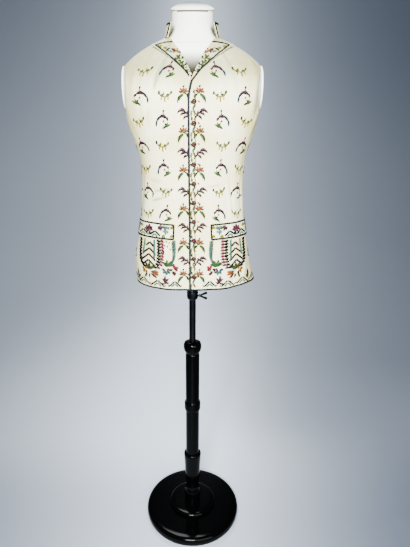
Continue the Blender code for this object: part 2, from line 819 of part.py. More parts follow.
def build_socket(material, home):
    """The flanged socket under the form, which stands on the clamp collar."""
    flange_top = FORM_LOW_Z - PIECE_GAP
    flange_low = flange_top - SOCKET_FLANGE_THICK
    foot = CLAMP_TOP_Z + PIECE_GAP
    profile = (
        Turn(FORM_BORE_RADIUS, flange_top),
        Turn(SOCKET_FLANGE_RADIUS, flange_top),
        Turn(SOCKET_FLANGE_RADIUS, flange_low),
        Turn(SOCKET_RADIUS, flange_low),
        Turn(SOCKET_RADIUS, foot),
        Turn(FORM_BORE_RADIUS, foot),
    )
    return turned_object(profile, SOCKET_STEPS, "socket", material, home)


def build_tube(material, home):
    """The steel tube, up from the column cap into the form."""
    column_top = COLUMN_PROFILE[0].height
    profile = (
        Turn(0.0, TUBE_TOP_Z),
        Turn(TUBE_RADIUS, TUBE_TOP_Z),
        Turn(TUBE_RADIUS, column_top + PIECE_GAP),
        Turn(0.0, column_top + PIECE_GAP),
    )
    return turned_object(profile, TUBE_STEPS, "tube", material, home)


def build_clamp(material, home, cutters):
    """The clamp collar, with a hole through its wall for the wing screw."""
    made = turned_object(CLAMP_PROFILE, CLAMP_STEPS, "clamp_collar", material, home)
    bm = bmesh.new()
    turn = Matrix.Rotation(math.radians(QUARTER_TURN_DEG), 4, "Y")
    middle_x = TUBE_RADIUS + SCREW_HOLE_LENGTH / 2.0 - SCREW_HOLE_START_IN
    place = Matrix.Translation((middle_x, 0.0, SCREW_Z))
    bmesh.ops.create_cone(
        bm,
        cap_ends=True,
        segments=SCREW_STEPS,
        radius1=SCREW_HOLE_RADIUS,
        radius2=SCREW_HOLE_RADIUS,
        depth=SCREW_HOLE_LENGTH,
        matrix=place @ turn,
    )
    cutter = object_from(bm, "screw_hole_cutter", None, cutters)
    cut_with(made, cutter)
    return made


def wing_outline(direction):
    """Corners of one wing in the XZ plane, about the screw's axis."""
    root_x = SCREW_HUB_X + SCREW_HUB_LENGTH / 2.0
    tip_z = WING_TIP_Z - WING_TIP_RADIUS * WING_TIP_DROP_SHARE
    tip = Vector((WING_TIP_X - WING_TIP_RADIUS, direction * tip_z))
    corners = [Vector((root_x, -direction * WING_ROOT_OVERLAP))]
    corners.append(Vector((root_x + WING_ROOT_WIDTH, 0.0)))
    for degrees in WING_TIP_DEGS:
        turn = math.radians(degrees)
        corners.append(tip + WING_TIP_RADIUS * Vector((math.cos(turn), direction * math.sin(turn))))
    corners.append(Vector((root_x, direction * WING_ROOT_WIDTH)))
    return corners


def build_wing(direction, home):
    """One flat wing of the screw, as a guide body for the union."""
    bm = bmesh.new()
    half = WING_THICK / 2.0
    outline = wing_outline(direction)
    front = [bm.verts.new((p.x, -half, p.y)) for p in outline]
    back = [bm.verts.new((p.x, half, p.y)) for p in outline]
    bm.faces.new(front)
    bm.faces.new(list(reversed(back)))
    for index in range(len(outline)):
        after = (index + 1) % len(outline)
        bm.faces.new((front[after], front[index], back[index], back[after]))
    bmesh.ops.recalc_face_normals(bm, faces=bm.faces)
    name = "wing_upper_guide" if direction > 0.0 else "wing_lower_guide"
    made = object_from(bm, name, None, home)
    made.location = (0.0, 0.0, SCREW_Z)
    made.hide_render = True
    made.display_type = "WIRE"
    return made


def build_wing_screw(material, home, cutters):
    """The wing screw: a shank, a hub and two wings in one body, turning about X."""
    hub_end = SCREW_HUB_X + SCREW_HUB_LENGTH
    profile = (
        Turn(0.0, hub_end + SCREW_HUB_DOME),
        Turn(SCREW_HUB_RADIUS * SCREW_HUB_CROWN_SHARE, hub_end),
        Turn(SCREW_HUB_RADIUS, SCREW_HUB_X + SCREW_HUB_SHOULDER),
        Turn(SCREW_HUB_RADIUS * SCREW_HUB_NECK_SHARE, SCREW_HUB_X),
        Turn(SCREW_RADIUS, SCREW_HUB_X),
        Turn(SCREW_RADIUS, SCREW_IN_X),
        Turn(0.0, SCREW_IN_X),
    )
    made = turned_object(profile, SCREW_STEPS, "wing_screw", material, home)
    made.rotation_euler = (0.0, math.radians(QUARTER_TURN_DEG), 0.0)
    made.location = (0.0, 0.0, SCREW_Z)
    for direction in (1.0, -1.0):
        wing = build_wing(direction, cutters)
        join = made.modifiers.new("wing", "BOOLEAN")
        join.operation = "UNION"
        join.solver = "EXACT"
        join.object = wing
    return made


def build_waistcoat(home):
    """Every piece of the garment."""
    silk = finish_material("embroidered silk", SILK)
    linen = finish_material("plain back linen", LINEN)
    thread = finish_material("covered button", BUTTON_THREAD)
    build_front(-1.0, UNDER_EDGE, False, "front_right", silk, home)
    build_front(1.0, OVER_EDGE, True, "front_left", silk, home)
    build_back(-1.0, "back_right", linen, home)
    build_back(1.0, "back_left", linen, home)
    build_lapel(-1.0, False, "lapel_right", silk, home)
    build_lapel(1.0, True, "lapel_left", silk, home)
    build_collar(silk, home)
    build_flap(-1.0, "flap_right", silk, home)
    build_flap(1.0, "flap_left", silk, home)
    build_buttons(thread, home)


def build_dress_form(home, cutters):
    """The torso, its neck cap, arm plates and socket."""
    jersey = finish_material("form jersey", JERSEY)
    metal = finish_material("dark steel", DARK_STEEL)
    build_form(jersey, home, cutters)
    build_neck_cap(jersey, home)
    build_arm_plate(-1.0, "arm_plate_right", jersey, home)
    build_arm_plate(1.0, "arm_plate_left", jersey, home)
    build_socket(metal, home)


def build_stand(home, cutters):
    """The base, the turned column, the tube and its clamp."""
    lacquer = finish_material("black lacquer", LACQUER)
    metal = finish_material("dark tube steel", TUBE_STEEL)
    turned_object(BASE_PROFILE, BASE_STEPS, "base", lacquer, home)
    turned_object(DISC_PROFILE, DISC_STEPS, "base_disc", lacquer, home)
    turned_object(FOOT_PROFILE, COLUMN_STEPS, "column_foot", lacquer, home)
    turned_object(COLUMN_PROFILE, COLUMN_STEPS, "column", lacquer, home)
    turned_object(COLUMN_CAP_PROFILE, COLUMN_STEPS, "column_cap", lacquer, home)
    build_tube(metal, home)
    build_clamp(metal, home, cutters)
    build_wing_screw(metal, home, cutters)


def main():
    """Build the whole part."""
    clear_scene()
    parts = collection_named("embroidered_waistcoat")
    cutters = collection_named("cutters")
    build_waistcoat(parts)
    build_dress_form(parts, cutters)
    build_stand(parts, cutters)


main()
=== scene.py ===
import json
import math
from collections import namedtuple

import bmesh
import bpy
import numpy as np
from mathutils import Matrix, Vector


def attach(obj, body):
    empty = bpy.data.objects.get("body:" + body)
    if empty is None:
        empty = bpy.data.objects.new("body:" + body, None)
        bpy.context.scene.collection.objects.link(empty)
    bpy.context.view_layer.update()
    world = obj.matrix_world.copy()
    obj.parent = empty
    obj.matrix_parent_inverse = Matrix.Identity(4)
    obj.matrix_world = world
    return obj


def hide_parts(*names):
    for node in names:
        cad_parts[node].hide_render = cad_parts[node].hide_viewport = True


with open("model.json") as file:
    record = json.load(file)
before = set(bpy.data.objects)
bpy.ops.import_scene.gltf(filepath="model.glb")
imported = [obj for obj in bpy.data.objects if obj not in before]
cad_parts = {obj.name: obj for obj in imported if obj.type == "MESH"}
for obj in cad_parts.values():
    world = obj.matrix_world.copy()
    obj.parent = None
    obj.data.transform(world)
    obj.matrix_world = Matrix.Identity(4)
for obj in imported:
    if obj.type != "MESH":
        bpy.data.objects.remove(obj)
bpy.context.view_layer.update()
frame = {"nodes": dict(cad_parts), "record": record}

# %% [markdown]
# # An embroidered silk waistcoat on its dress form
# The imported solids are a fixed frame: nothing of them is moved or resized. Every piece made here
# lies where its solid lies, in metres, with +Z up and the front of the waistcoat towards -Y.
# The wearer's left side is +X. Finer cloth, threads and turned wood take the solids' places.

MM = 0.001

# %% [markdown]
# ## Camera
# The view is from the front at chest height, tipped down so that the whole stand is seen from the
# neck to its base. A long lens is written as a focal length in picture heights, which fixes the
# framing whatever the picture's size.

# %% Camera
VIEW_WIDTH_PX, VIEW_HEIGHT_PX = 410, 547
FOCAL_PX = 411.0
MIDDLE_PX = 192.5
CAMERA_PLACE = (0.0, -1.2285, 1.2455)
CAMERA_TIP_DEG = 15.74
SENSOR_MM = 36.0


def placed(name, data):
    """A new object of the scene, from its mesh, lens or lamp."""
    made = bpy.data.objects.new(name, data)
    bpy.context.scene.collection.objects.link(made)
    return made


def add_camera():
    """The viewing camera, with no depth of field."""
    lens = bpy.data.cameras.new("view camera")
    camera = placed("view camera", lens)
    camera.location = CAMERA_PLACE
    camera.rotation_euler = (math.radians(90.0 - CAMERA_TIP_DEG), 0.0, 0.0)
    lens.sensor_fit = "VERTICAL"
    lens.sensor_height = SENSOR_MM
    lens.lens = FOCAL_PX / VIEW_HEIGHT_PX * SENSOR_MM
    lens.shift_x = (VIEW_WIDTH_PX / 2.0 - MIDDLE_PX) / VIEW_HEIGHT_PX
    bpy.context.scene.camera = camera
    return lens


print("lens:", round(add_camera().lens, 2), "mm")

# %% [markdown]
# ## The figure and the cut
# A fitted waistcoat takes its shape from the body under it. The figure is a table of level
# sections, each a rounded rectangle, and a height and an angle round the body name a point of it:
# 0 degrees is the centre front, 90 the wearer's left side and 180 the centre back. The same tables
# cut the solids, so cloth made from them lies exactly where the solids lie.

# %% The figure's level sections, the room in the cloth and its largest folds


def rows_of(kind, *rows):
    """A table whose rows have named columns."""
    return tuple(kind(*row) for row in rows)


Section = namedtuple("Section", "height half_width front back squareness lean")
FIGURE = rows_of(
    Section,
    (0.880, 0.1635, 0.1165, 0.1110, 2.30, 0.0),
    (0.950, 0.1655, 0.1155, 0.1150, 2.30, 0.0),
    (1.020, 0.1555, 0.1120, 0.1140, 2.30, 0.0),
    (1.100, 0.1455, 0.1055, 0.1035, 2.25, 0.0),
    (1.180, 0.1418, 0.1015, 0.0955, 2.25, 0.0),
    (1.240, 0.1450, 0.1040, 0.0970, 2.30, 0.0),
    (1.300, 0.1640, 0.1105, 0.1040, 2.40, 0.0),
    (1.350, 0.1780, 0.1130, 0.1100, 2.50, 0.0),
    (1.400, 0.1870, 0.1085, 0.1135, 2.60, 0.0),
    (1.440, 0.1930, 0.0985, 0.1120, 2.60, 0.0),
    (1.468, 0.1880, 0.0875, 0.1060, 2.50, 0.0),
    (1.486, 0.1740, 0.0800, 0.1000, 2.40, 0.0),
    (1.510, 0.1450, 0.0715, 0.0900, 2.20, 0.0),
    (1.530, 0.1095, 0.0645, 0.0790, 2.10, -0.001),
    (1.546, 0.0740, 0.0590, 0.0680, 2.00, -0.003),
    (1.558, 0.0605, 0.0565, 0.0620, 2.00, -0.005),
    (1.572, 0.0550, 0.0550, 0.0575, 2.00, -0.008),
    (1.595, 0.0537, 0.0540, 0.0550, 2.00, -0.014),
    (1.635, 0.0537, 0.0540, 0.0540, 2.00, -0.024),
)
Ease = namedtuple("Ease", "height side front back")
EASE = rows_of(
    Ease,
    (0.880, 0.0030, 0.0045, 0.0050),
    (0.930, 0.0045, 0.0040, 0.0050),
    (1.020, 0.0028, 0.0030, 0.0040),
    (1.180, 0.0024, 0.0026, 0.0036),
    (1.400, 0.0024, 0.0024, 0.0030),
    (1.486, 0.0030, 0.0024, 0.0026),
    (1.560, 0.0034, 0.0026, 0.0026),
)
Fold = namedtuple("Fold", "angle height spread length depth")
FOLDS = rows_of(
    Fold,
    (82.0, 0.868, 17.0, 0.052, 0.0245),
    (-74.0, 0.990, 9.0, 0.070, 0.0030),
    (-30.0, 0.875, 12.0, 0.060, 0.0040),
    (38.0, 0.870, 10.0, 0.065, 0.0045),
    (58.0, 1.150, 6.0, 0.075, 0.0036),
    (73.0, 1.120, 6.0, 0.090, 0.0032),
    (-66.0, 1.140, 7.0, 0.080, 0.0028),
    (57.0, 1.440, 6.5, 0.060, 0.0036),
    (-55.0, 1.435, 7.0, 0.065, 0.0040),
    (-70.0, 1.370, 5.0, 0.050, 0.0026),
    (122.0, 1.120, 8.0, 0.090, 0.0042),
    (-126.0, 1.130, 8.0, 0.085, 0.0040),
    (152.0, 1.080, 8.0, 0.090, 0.0034),
    (-148.0, 1.060, 9.0, 0.090, 0.0036),
    (118.0, 0.870, 12.0, 0.065, 0.0070),
    (-112.0, 0.870, 12.0, 0.065, 0.0060),
    (-150.0, 0.872, 9.0, 0.060, 0.0050),
    (156.0, 0.872, 9.0, 0.060, 0.0045),
    (125.0, 1.400, 8.0, 0.060, 0.0032),
    (-128.0, 1.405, 8.0, 0.060, 0.0034),
)

# %% [markdown]
# Worn silk also has creases that are finer than its folds: they hang from the shoulders, drag
# across the waist and ripple over the hem. Each row below is one soft crease, a ridge
# with a shallower trough beside it. Simulated cloth would crease too, but not in chosen places.

# %% The main creases: place, tilt from upright, half length and width, and depth
Crease = namedtuple("Crease", "angle height tilt length width depth")
CREASES = rows_of(
    Crease,
    (-47.0, 1.455, 6.0, 0.052, 0.0060, 0.0022),
    (-62.0, 1.425, -4.0, 0.060, 0.0070, 0.0026),
    (-53.0, 1.365, 3.0, 0.035, 0.0055, 0.0015),
    (46.0, 1.450, -7.0, 0.056, 0.0065, 0.0023),
    (65.0, 1.415, 5.0, 0.048, 0.0070, 0.0024),
    (72.0, 1.345, 12.0, 0.040, 0.0055, 0.0018),
    (-74.0, 1.325, -16.0, 0.034, 0.0055, 0.0016),
    (50.0, 1.135, -5.0, 0.058, 0.0050, 0.0022),
    (65.0, 1.165, 4.0, 0.062, 0.0055, 0.0024),
    (78.0, 1.215, -9.0, 0.042, 0.0060, 0.0018),
    (-42.0, 1.168, 82.0, 0.040, 0.0042, 0.0012),
    (-52.0, 1.142, 76.0, 0.034, 0.0046, 0.0014),
    (-60.0, 1.196, 97.0, 0.030, 0.0045, 0.0012),
    (-78.0, 1.150, 10.0, 0.055, 0.0060, 0.0020),
    (30.0, 1.180, 84.0, 0.024, 0.0045, 0.0008),
    (47.0, 0.925, 8.0, 0.036, 0.0070, 0.0018),
    (-50.0, 0.918, -6.0, 0.034, 0.0070, 0.0016),
    (66.0, 0.940, 14.0, 0.045, 0.0075, 0.0024),
    (-82.0, 0.950, -8.0, 0.050, 0.0070, 0.0020),
    (104.0, 1.180, 7.0, 0.060, 0.0060, 0.0022),
    (-101.0, 1.165, -6.0, 0.055, 0.0060, 0.0020),
    (134.0, 1.190, 78.0, 0.048, 0.0050, 0.0016),
    (-138.0, 1.158, 99.0, 0.044, 0.0050, 0.0016),
    (163.0, 1.205, 84.0, 0.038, 0.0048, 0.0012),
    (-166.0, 1.215, 93.0, 0.030, 0.0048, 0.0011),
    (142.0, 1.435, -10.0, 0.050, 0.0065, 0.0020),
    (-140.0, 1.430, 8.0, 0.046, 0.0065, 0.0020),
    (118.0, 1.350, 24.0, 0.040, 0.0060, 0.0019),
    (-120.0, 1.340, -20.0, 0.044, 0.0060, 0.0018),
    (140.0, 0.930, 5.0, 0.050, 0.0080, 0.0024),
    (-134.0, 0.935, -7.0, 0.046, 0.0080, 0.0023),
    (171.0, 0.925, -4.0, 0.040, 0.0070, 0.0015),
    (-165.0, 1.010, 3.0, 0.050, 0.0065, 0.0014),
)
CREASE_TROUGH_SHARE = 0.55
CREASE_TROUGH_APART = 1.7
METRES_PER_DEGREE = 0.0026

# %% Values between the rows of a table


def rows_at(table, place):
    """Smooth values between a table's rows, one column each, at places in its first column."""
    rows = np.array(table, dtype=float)
    steps, values = rows[:, 0], rows[:, 1:]
    spans = np.diff(steps)[:, None]
    rises = np.diff(values, axis=0) / spans
    slopes = np.concatenate([rises[:1], np.zeros_like(rises[1:]), rises[-1:]])
    before, after = rises[:-1], rises[1:]
    turning = before * after <= 0.0
    total = np.where(turning, 1.0, before + after)
    slopes[1:-1] = np.where(turning, 0.0, 2.0 * before * after / total)
    place = np.clip(np.asarray(place, dtype=float), steps[0], steps[-1])
    row = np.clip(np.searchsorted(steps, place, side="right") - 1, 0, len(steps) - 2)
    share = ((place - steps[row]) / spans[row, 0])[..., None]
    low, rise = values[row], values[row + 1] - values[row]
    slope_low, slope_high = slopes[row] * spans[row], slopes[row + 1] * spans[row]
    bend = 3.0 * rise - 2.0 * slope_low - slope_high
    curl = slope_low + slope_high - 2.0 * rise
    result = low + share * slope_low + share**2 * bend + share**3 * curl
    return np.moveaxis(result, -1, 0)


def smooth_step(share):
    """From 0 to 1 with level ends."""
    share = np.clip(share, 0.0, 1.0)
    return share * share * (3.0 - 2.0 * share)

# %% Points of the figure and of the cloth over it


def figure_point(angle, height, eased=False, push=0.0):
    """Points of the figure, or of the inside of the cloth over it."""
    angle, height = np.broadcast_arrays(np.asarray(angle, float), np.asarray(height, float))
    half_width, front, back, power, lean = rows_at(FIGURE, height)
    across, ahead = np.sin(np.radians(angle)), np.cos(np.radians(angle))
    if eased:
        side, ease_front, ease_back = rows_at(EASE, height)
        half_width, front, back = half_width + side, front + ease_front, back + ease_back
    depth = np.where(ahead > 0.0, front, back)
    total = (np.abs(across) / half_width) ** power + (np.abs(ahead) / depth) ** power
    reach = total ** (-1.0 / power) + push
    return np.stack([reach * across, lean - reach * ahead, height], axis=-1)


def turned_by(angle, centre):
    """Degrees from a centre angle, the short way round."""
    return (angle - centre + 180.0) % 360.0 - 180.0


def fold_push(angle, height):
    """How far folds and creases move the cloth out."""
    push = np.zeros(np.broadcast(angle, height).shape)
    for fold in FOLDS:
        across = turned_by(angle, fold.angle) / fold.spread
        along = (height - fold.height) / fold.length
        push += fold.depth * np.exp(-(across**2) - along**2)
    for crease in CREASES:
        side = turned_by(angle, crease.angle) * METRES_PER_DEGREE
        rise = height - crease.height
        tilt = math.radians(crease.tilt)
        along = (side * math.sin(tilt) + rise * math.cos(tilt)) / crease.length
        across = (side * math.cos(tilt) - rise * math.sin(tilt)) / crease.width
        trough = CREASE_TROUGH_SHARE * np.exp(-((across - CREASE_TROUGH_APART) ** 2))
        push += crease.depth * np.exp(-(along**2)) * (np.exp(-(across**2)) - trough)
    return push


def cloth_base(angle, height):
    """Points of the inside of the cloth."""
    return figure_point(angle, height, True, fold_push(angle, height))


NORMAL_TURN_DEG = 0.5
NORMAL_RISE = 0.001


def unit(vectors):
    """Vectors of length one."""
    return vectors / np.linalg.norm(vectors, axis=-1, keepdims=True)


def cloth_normal(angle, height):
    """Outward directions of the cloth."""
    before, after = angle - NORMAL_TURN_DEG, angle + NORMAL_TURN_DEG
    along = cloth_base(after, height) - cloth_base(before, height)
    up = cloth_base(angle, height + NORMAL_RISE) - cloth_base(angle, height - NORMAL_RISE)
    return unit(np.cross(along, up))


def cloth_point(angle, height, out=0.0):
    """Points of the cloth, moved out from its inside."""
    out = np.asarray(out, dtype=float)[..., None]
    return cloth_base(angle, height) + cloth_normal(angle, height) * out

# %% Angles from places across the front
SIDE_DEG, BACK_DEG = 90.0, 180.0
SEARCH_STEPS = 30


def angle_at_x(x, height):
    """The angles at which the front of the cloth has given values of x."""
    x, height = np.broadcast_arrays(np.asarray(x, float), np.asarray(height, float))
    side = np.where(x < 0.0, -1.0, 1.0)
    low, high = np.zeros(x.shape), np.full(x.shape, SIDE_DEG)
    for _ in range(SEARCH_STEPS):
        middle = (low + high) / 2.0
        short = cloth_base(side * middle, height)[..., 0] * side < np.abs(x)
        low, high = np.where(short, middle, low), np.where(short, high, middle)
    return side * (low + high) / 2.0


print("figure:", len(FIGURE), "sections,", len(FOLDS), "folds,", len(CREASES), "creases")

# %% [markdown]
# ## Colours and shared finishes
# Colours are written as a dyer's or painter's eight-bit values and turned into light values once.
# Two effects serve several finishes, so each is a node group: a woven ground of crossing threads
# with slubs, and a slow wandering of tone, as in old silk that has yellowed unevenly.

# %% Colours
EIGHT_BIT = 255.0
DARK_END, DARK_SLOPE = 0.04045, 12.92
CURVE_OFFSET, CURVE_POWER = 0.055, 2.4


def light_value(channel):
    """One eight-bit channel as a linear light value."""
    share = channel / EIGHT_BIT
    if share <= DARK_END:
        return share / DARK_SLOPE
    return ((share + CURVE_OFFSET) / (1.0 + CURVE_OFFSET)) ** CURVE_POWER


def colour(red, green, blue):
    """A linear colour from its eight-bit channels."""
    return tuple(light_value(channel) for channel in (red, green, blue))


SILK_LIGHT, SILK_DEEP = colour(248, 245, 199), colour(229, 215, 142)
# Colours that painted shade darkens towards: the cloth's, the jersey's, the cap's and the paper's.
CLOTH_SHADED, JERSEY_PAINTED_SHADE = colour(168, 172, 164), colour(38, 33, 19)
CAP_SHADED, PAPER_SHADED = colour(104, 116, 130), colour(92, 96, 104)
LINEN_LIGHT, LINEN_DEEP = colour(236, 230, 202), colour(216, 204, 164)
JERSEY_LIGHT, JERSEY_DEEP = colour(244, 245, 232), colour(234, 232, 214)
LACQUER_LIGHT, LACQUER_DEEP = colour(2, 2, 2), colour(1, 1, 1)
STEEL_LIGHT, STEEL_DEEP = colour(40, 42, 44), colour(21, 22, 24)

# %% Node helpers
COLOUR_A, COLOUR_B, COLOUR_OUT = 6, 7, 2


def linked(tree, kind, links=None, **settings):
    """Add a node, set its properties and join its inputs."""
    node = tree.nodes.new(kind)
    for name, value in settings.items():
        setattr(node, name, value)
    for name, source in (links or {}).items():
        socket = node.inputs[name]
        if isinstance(source, bpy.types.NodeSocket):
            tree.links.new(source, socket)
        else:
            socket.default_value = source
    return node


def maths(tree, operation, *values):
    """One sum of numbers."""
    return linked(tree, "ShaderNodeMath", dict(enumerate(values)), operation=operation).outputs[0]


def noise(tree, place, scale, detail):
    """Soft noise over a place."""
    links = {"Vector": place, "Scale": scale, "Detail": detail}
    return linked(tree, "ShaderNodeTexNoise", links).outputs["Fac"]


def remapped(tree, value, **limits):
    """A value moved to new limits, each named like its socket, as in To_Min."""
    links = {name.replace("_", " "): limit for name, limit in limits.items()}
    return linked(tree, "ShaderNodeMapRange", {"Value": value, **links}).outputs["Result"]


def mixed(tree, factor, first, second, blend="MIX"):
    """Two colours mixed by a factor."""
    links = {"Factor": factor, COLOUR_A: first, COLOUR_B: second}
    node = linked(tree, "ShaderNodeMix", links, data_type="RGBA", blend_type=blend)
    return node.outputs[COLOUR_OUT]


def shader_group(name, inputs, outputs):
    """An empty shader group with named sockets, and its two end nodes."""
    tree = bpy.data.node_groups.new(name, "ShaderNodeTree")
    for label, kind, value in inputs:
        socket = tree.interface.new_socket(label, in_out="INPUT", socket_type=kind)
        if value is not None:
            socket.default_value = value
    for label, kind in outputs:
        tree.interface.new_socket(label, in_out="OUTPUT", socket_type=kind)
    return tree, tree.nodes.new("NodeGroupInput"), tree.nodes.new("NodeGroupOutput")

# %% The two shared groups
CROSSING_HEIGHT, SLUB_TONE = 0.35, 0.5
SLUB_STRETCHES, SLUB_DETAIL = ((420.0, 16.0, 1.0), (18.0, 520.0, 1.0)), 3.0
WANDER_DETAIL = 5.0
GREY_LIGHT, GREY_DEEP = (0.8, 0.8, 0.8, 1.0), (0.5, 0.5, 0.5, 1.0)
TONE_FROM, TONE_TO = 0.45, 0.80


def thread_wave(tree, place, threads):
    """One set of threads side by side, as a wave."""
    turns = maths(tree, "MULTIPLY", place, threads)
    return maths(tree, "SINE", maths(tree, "MULTIPLY", turns, math.tau))


def slub(tree, place, stretch):
    """Thick and thin places, drawn out along one set of threads."""
    drawn = linked(tree, "ShaderNodeVectorMath", {0: place, 1: stretch}, operation="MULTIPLY")
    return noise(tree, drawn.outputs[0], 1.0, SLUB_DETAIL)


def woven_group():
    """Crossing threads with slubs: a height for bump and a tone for colour."""
    tree, start, end = shader_group(
        "woven ground",
        [("Vector", "NodeSocketVector", None), ("Threads", "NodeSocketFloat", 1800.0)],
        [("Height", "NodeSocketFloat"), ("Slub", "NodeSocketFloat")],
    )
    flat, threads = start.outputs["Vector"], start.outputs["Threads"]
    place = linked(tree, "ShaderNodeSeparateXYZ", {0: flat}).outputs
    waves = [thread_wave(tree, place[axis], threads) for axis in ("X", "Y")]
    slubs = maths(tree, "ADD", *(slub(tree, flat, stretch) for stretch in SLUB_STRETCHES))
    crossing = maths(tree, "MULTIPLY", *waves)
    height = maths(tree, "MULTIPLY_ADD", crossing, CROSSING_HEIGHT, slubs)
    tree.links.new(height, end.inputs["Height"])
    tree.links.new(maths(tree, "MULTIPLY", slubs, SLUB_TONE), end.inputs["Slub"])
    return tree


def wandering_group():
    """Slow, soft change from one colour to another over the surface."""
    inputs = [
        ("Vector", "NodeSocketVector", None),
        ("Size", "NodeSocketFloat", 6.0),
        ("Light", "NodeSocketColor", GREY_LIGHT),
        ("Deep", "NodeSocketColor", GREY_DEEP),
        ("From", "NodeSocketFloat", TONE_FROM),
        ("To", "NodeSocketFloat", TONE_TO),
    ]
    tree, start, end = shader_group("wandering tone", inputs, [("Color", "NodeSocketColor")])
    given = start.outputs
    spread = noise(tree, given["Vector"], given["Size"], WANDER_DETAIL)
    mask = remapped(tree, spread, From_Min=given["From"], From_Max=given["To"])
    tree.links.new(mixed(tree, mask, given["Light"], given["Deep"]), end.inputs["Color"])
    return tree


WOVEN = woven_group()
WANDERING = wandering_group()
print("shared effects:", WOVEN.name, "and", WANDERING.name)

# %% [markdown]
# ## The finishes
# Each finish keeps its own Principled shader, and only heights and colours come from the groups.
# Numbers that are the same all over, such as sheen and coat, are set on the shader itself.

# %% Parts of a finish
SHEEN_ROUGHNESS, COAT_ROUGHNESS = 0.35, 0.06
CLOTH_TONE_SIZE, CLOTH_TONE_FROM, CLOTH_TONE_TO = 7.0, 0.40, 0.68
STREAK_FROM, STREAK_TO, STREAK_DARKEST = 0.35, 0.65, 0.76
WEAVE_RELIEF, GRAIN_RELIEF, GRAIN_STRENGTH = 0.00012, 0.0001, 0.12
SOLID_SHINE, GRAIN_DETAIL = 0.04, 4.0
STRAND_SCALE, STRAND_DETAIL, STRAND_ROUGHNESS = 2600.0, 2.0, (0.30, 0.56)
STRAND_STRENGTH, STRAND_RELIEF, THREAD_SHINE = 0.30, 0.00008, 0.12


def blank_finish(name, **settings):
    """A material with its shader's own values set, each named like its socket."""
    made = bpy.data.materials.new(name)
    made.use_nodes = True
    shader = made.node_tree.nodes["Principled BSDF"]
    for label, value in settings.items():
        shader.inputs[label.replace("_", " ")].default_value = value
    return made, made.node_tree, shader


def tone(tree, place, size, light, deep, first=TONE_FROM, last=TONE_TO):
    """A colour that wanders from light to deep."""
    links = {"Vector": place, "Size": size, "From": first, "To": last}
    links.update(Light=(*light, 1.0), Deep=(*deep, 1.0))
    return linked(tree, "ShaderNodeGroup", links, node_tree=WANDERING).outputs["Color"]


def darkened(tree, tint, shaded):
    """A colour, darkened by the painted shade stored on the piece, fully where it is 1."""
    wear = linked(tree, "ShaderNodeAttribute", attribute_name="wear").outputs["Fac"]
    return mixed(tree, wear, tint, (*shaded, 1.0), "MULTIPLY")


def bump(tree, shader, height, strength, distance):
    """Give a shader relief from a height."""
    links = {"Height": height, "Strength": strength, "Distance": distance}
    node = linked(tree, "ShaderNodeBump", links)
    tree.links.new(node.outputs["Normal"], shader.inputs["Normal"])

# %% Cloth, thread and hard finishes


def cloth_finish(name, light, deep, threads, roughness, sheen, strength):
    """A woven cloth that reads the flat coordinates of its cut."""
    made, tree, shader = blank_finish(
        name, Roughness=roughness, Sheen_Weight=sheen, Sheen_Roughness=SHEEN_ROUGHNESS
    )
    flat = linked(tree, "ShaderNodeUVMap", uv_map="cut").outputs["UV"]
    links = {"Vector": flat, "Threads": threads}
    weave = linked(tree, "ShaderNodeGroup", links, node_tree=WOVEN).outputs
    aged = tone(tree, flat, CLOTH_TONE_SIZE, light, deep, CLOTH_TONE_FROM, CLOTH_TONE_TO)
    limits = {"From_Min": STREAK_FROM, "From_Max": STREAK_TO, "To_Min": STREAK_DARKEST}
    streaked = mixed(tree, 1.0, aged, remapped(tree, weave["Slub"], **limits), "MULTIPLY")
    # The cloth's colour is darkened by its painted shade.
    tree.links.new(darkened(tree, streaked, CLOTH_SHADED), shader.inputs["Base Color"])
    bump(tree, shader, weave["Height"], strength, WEAVE_RELIEF)
    return made


def thread_finish():
    """Embroidery silk, whose dye is stored on each thread."""
    made, tree, shader = blank_finish("embroidery silk", Specular_IOR_Level=THREAD_SHINE)
    dye = linked(tree, "ShaderNodeAttribute", attribute_name="thread_colour").outputs["Color"]
    place = tree.nodes.new("ShaderNodeTexCoord").outputs["Object"]
    strands = noise(tree, place, STRAND_SCALE, STRAND_DETAIL)
    smooth, rough = STRAND_ROUGHNESS
    tree.links.new(dye, shader.inputs["Base Color"])
    gloss = remapped(tree, strands, To_Min=smooth, To_Max=rough)
    tree.links.new(gloss, shader.inputs["Roughness"])
    bump(tree, shader, strands, STRAND_STRENGTH, STRAND_RELIEF)
    return made


def solid_finish(name, light, deep, size, grain, roughness, shaded=None, metallic=0.0, coat=0.0):
    """A hard or smooth finish on object coordinates, with its own fine grain."""
    made, tree, shader = blank_finish(
        name,
        Metallic=metallic,
        Coat_Weight=coat,
        Coat_Roughness=COAT_ROUGHNESS,
        Specular_IOR_Level=SOLID_SHINE,
    )
    place = tree.nodes.new("ShaderNodeTexCoord").outputs["Object"]
    tint = tone(tree, place, size, light, deep)
    if shaded:
        tint = darkened(tree, tint, shaded)
    marks = noise(tree, place, grain, GRAIN_DETAIL)
    smooth, rough = roughness
    tree.links.new(tint, shader.inputs["Base Color"])
    gloss = remapped(tree, marks, To_Min=smooth, To_Max=rough)
    tree.links.new(gloss, shader.inputs["Roughness"])
    bump(tree, shader, marks, GRAIN_STRENGTH, GRAIN_RELIEF)
    return made


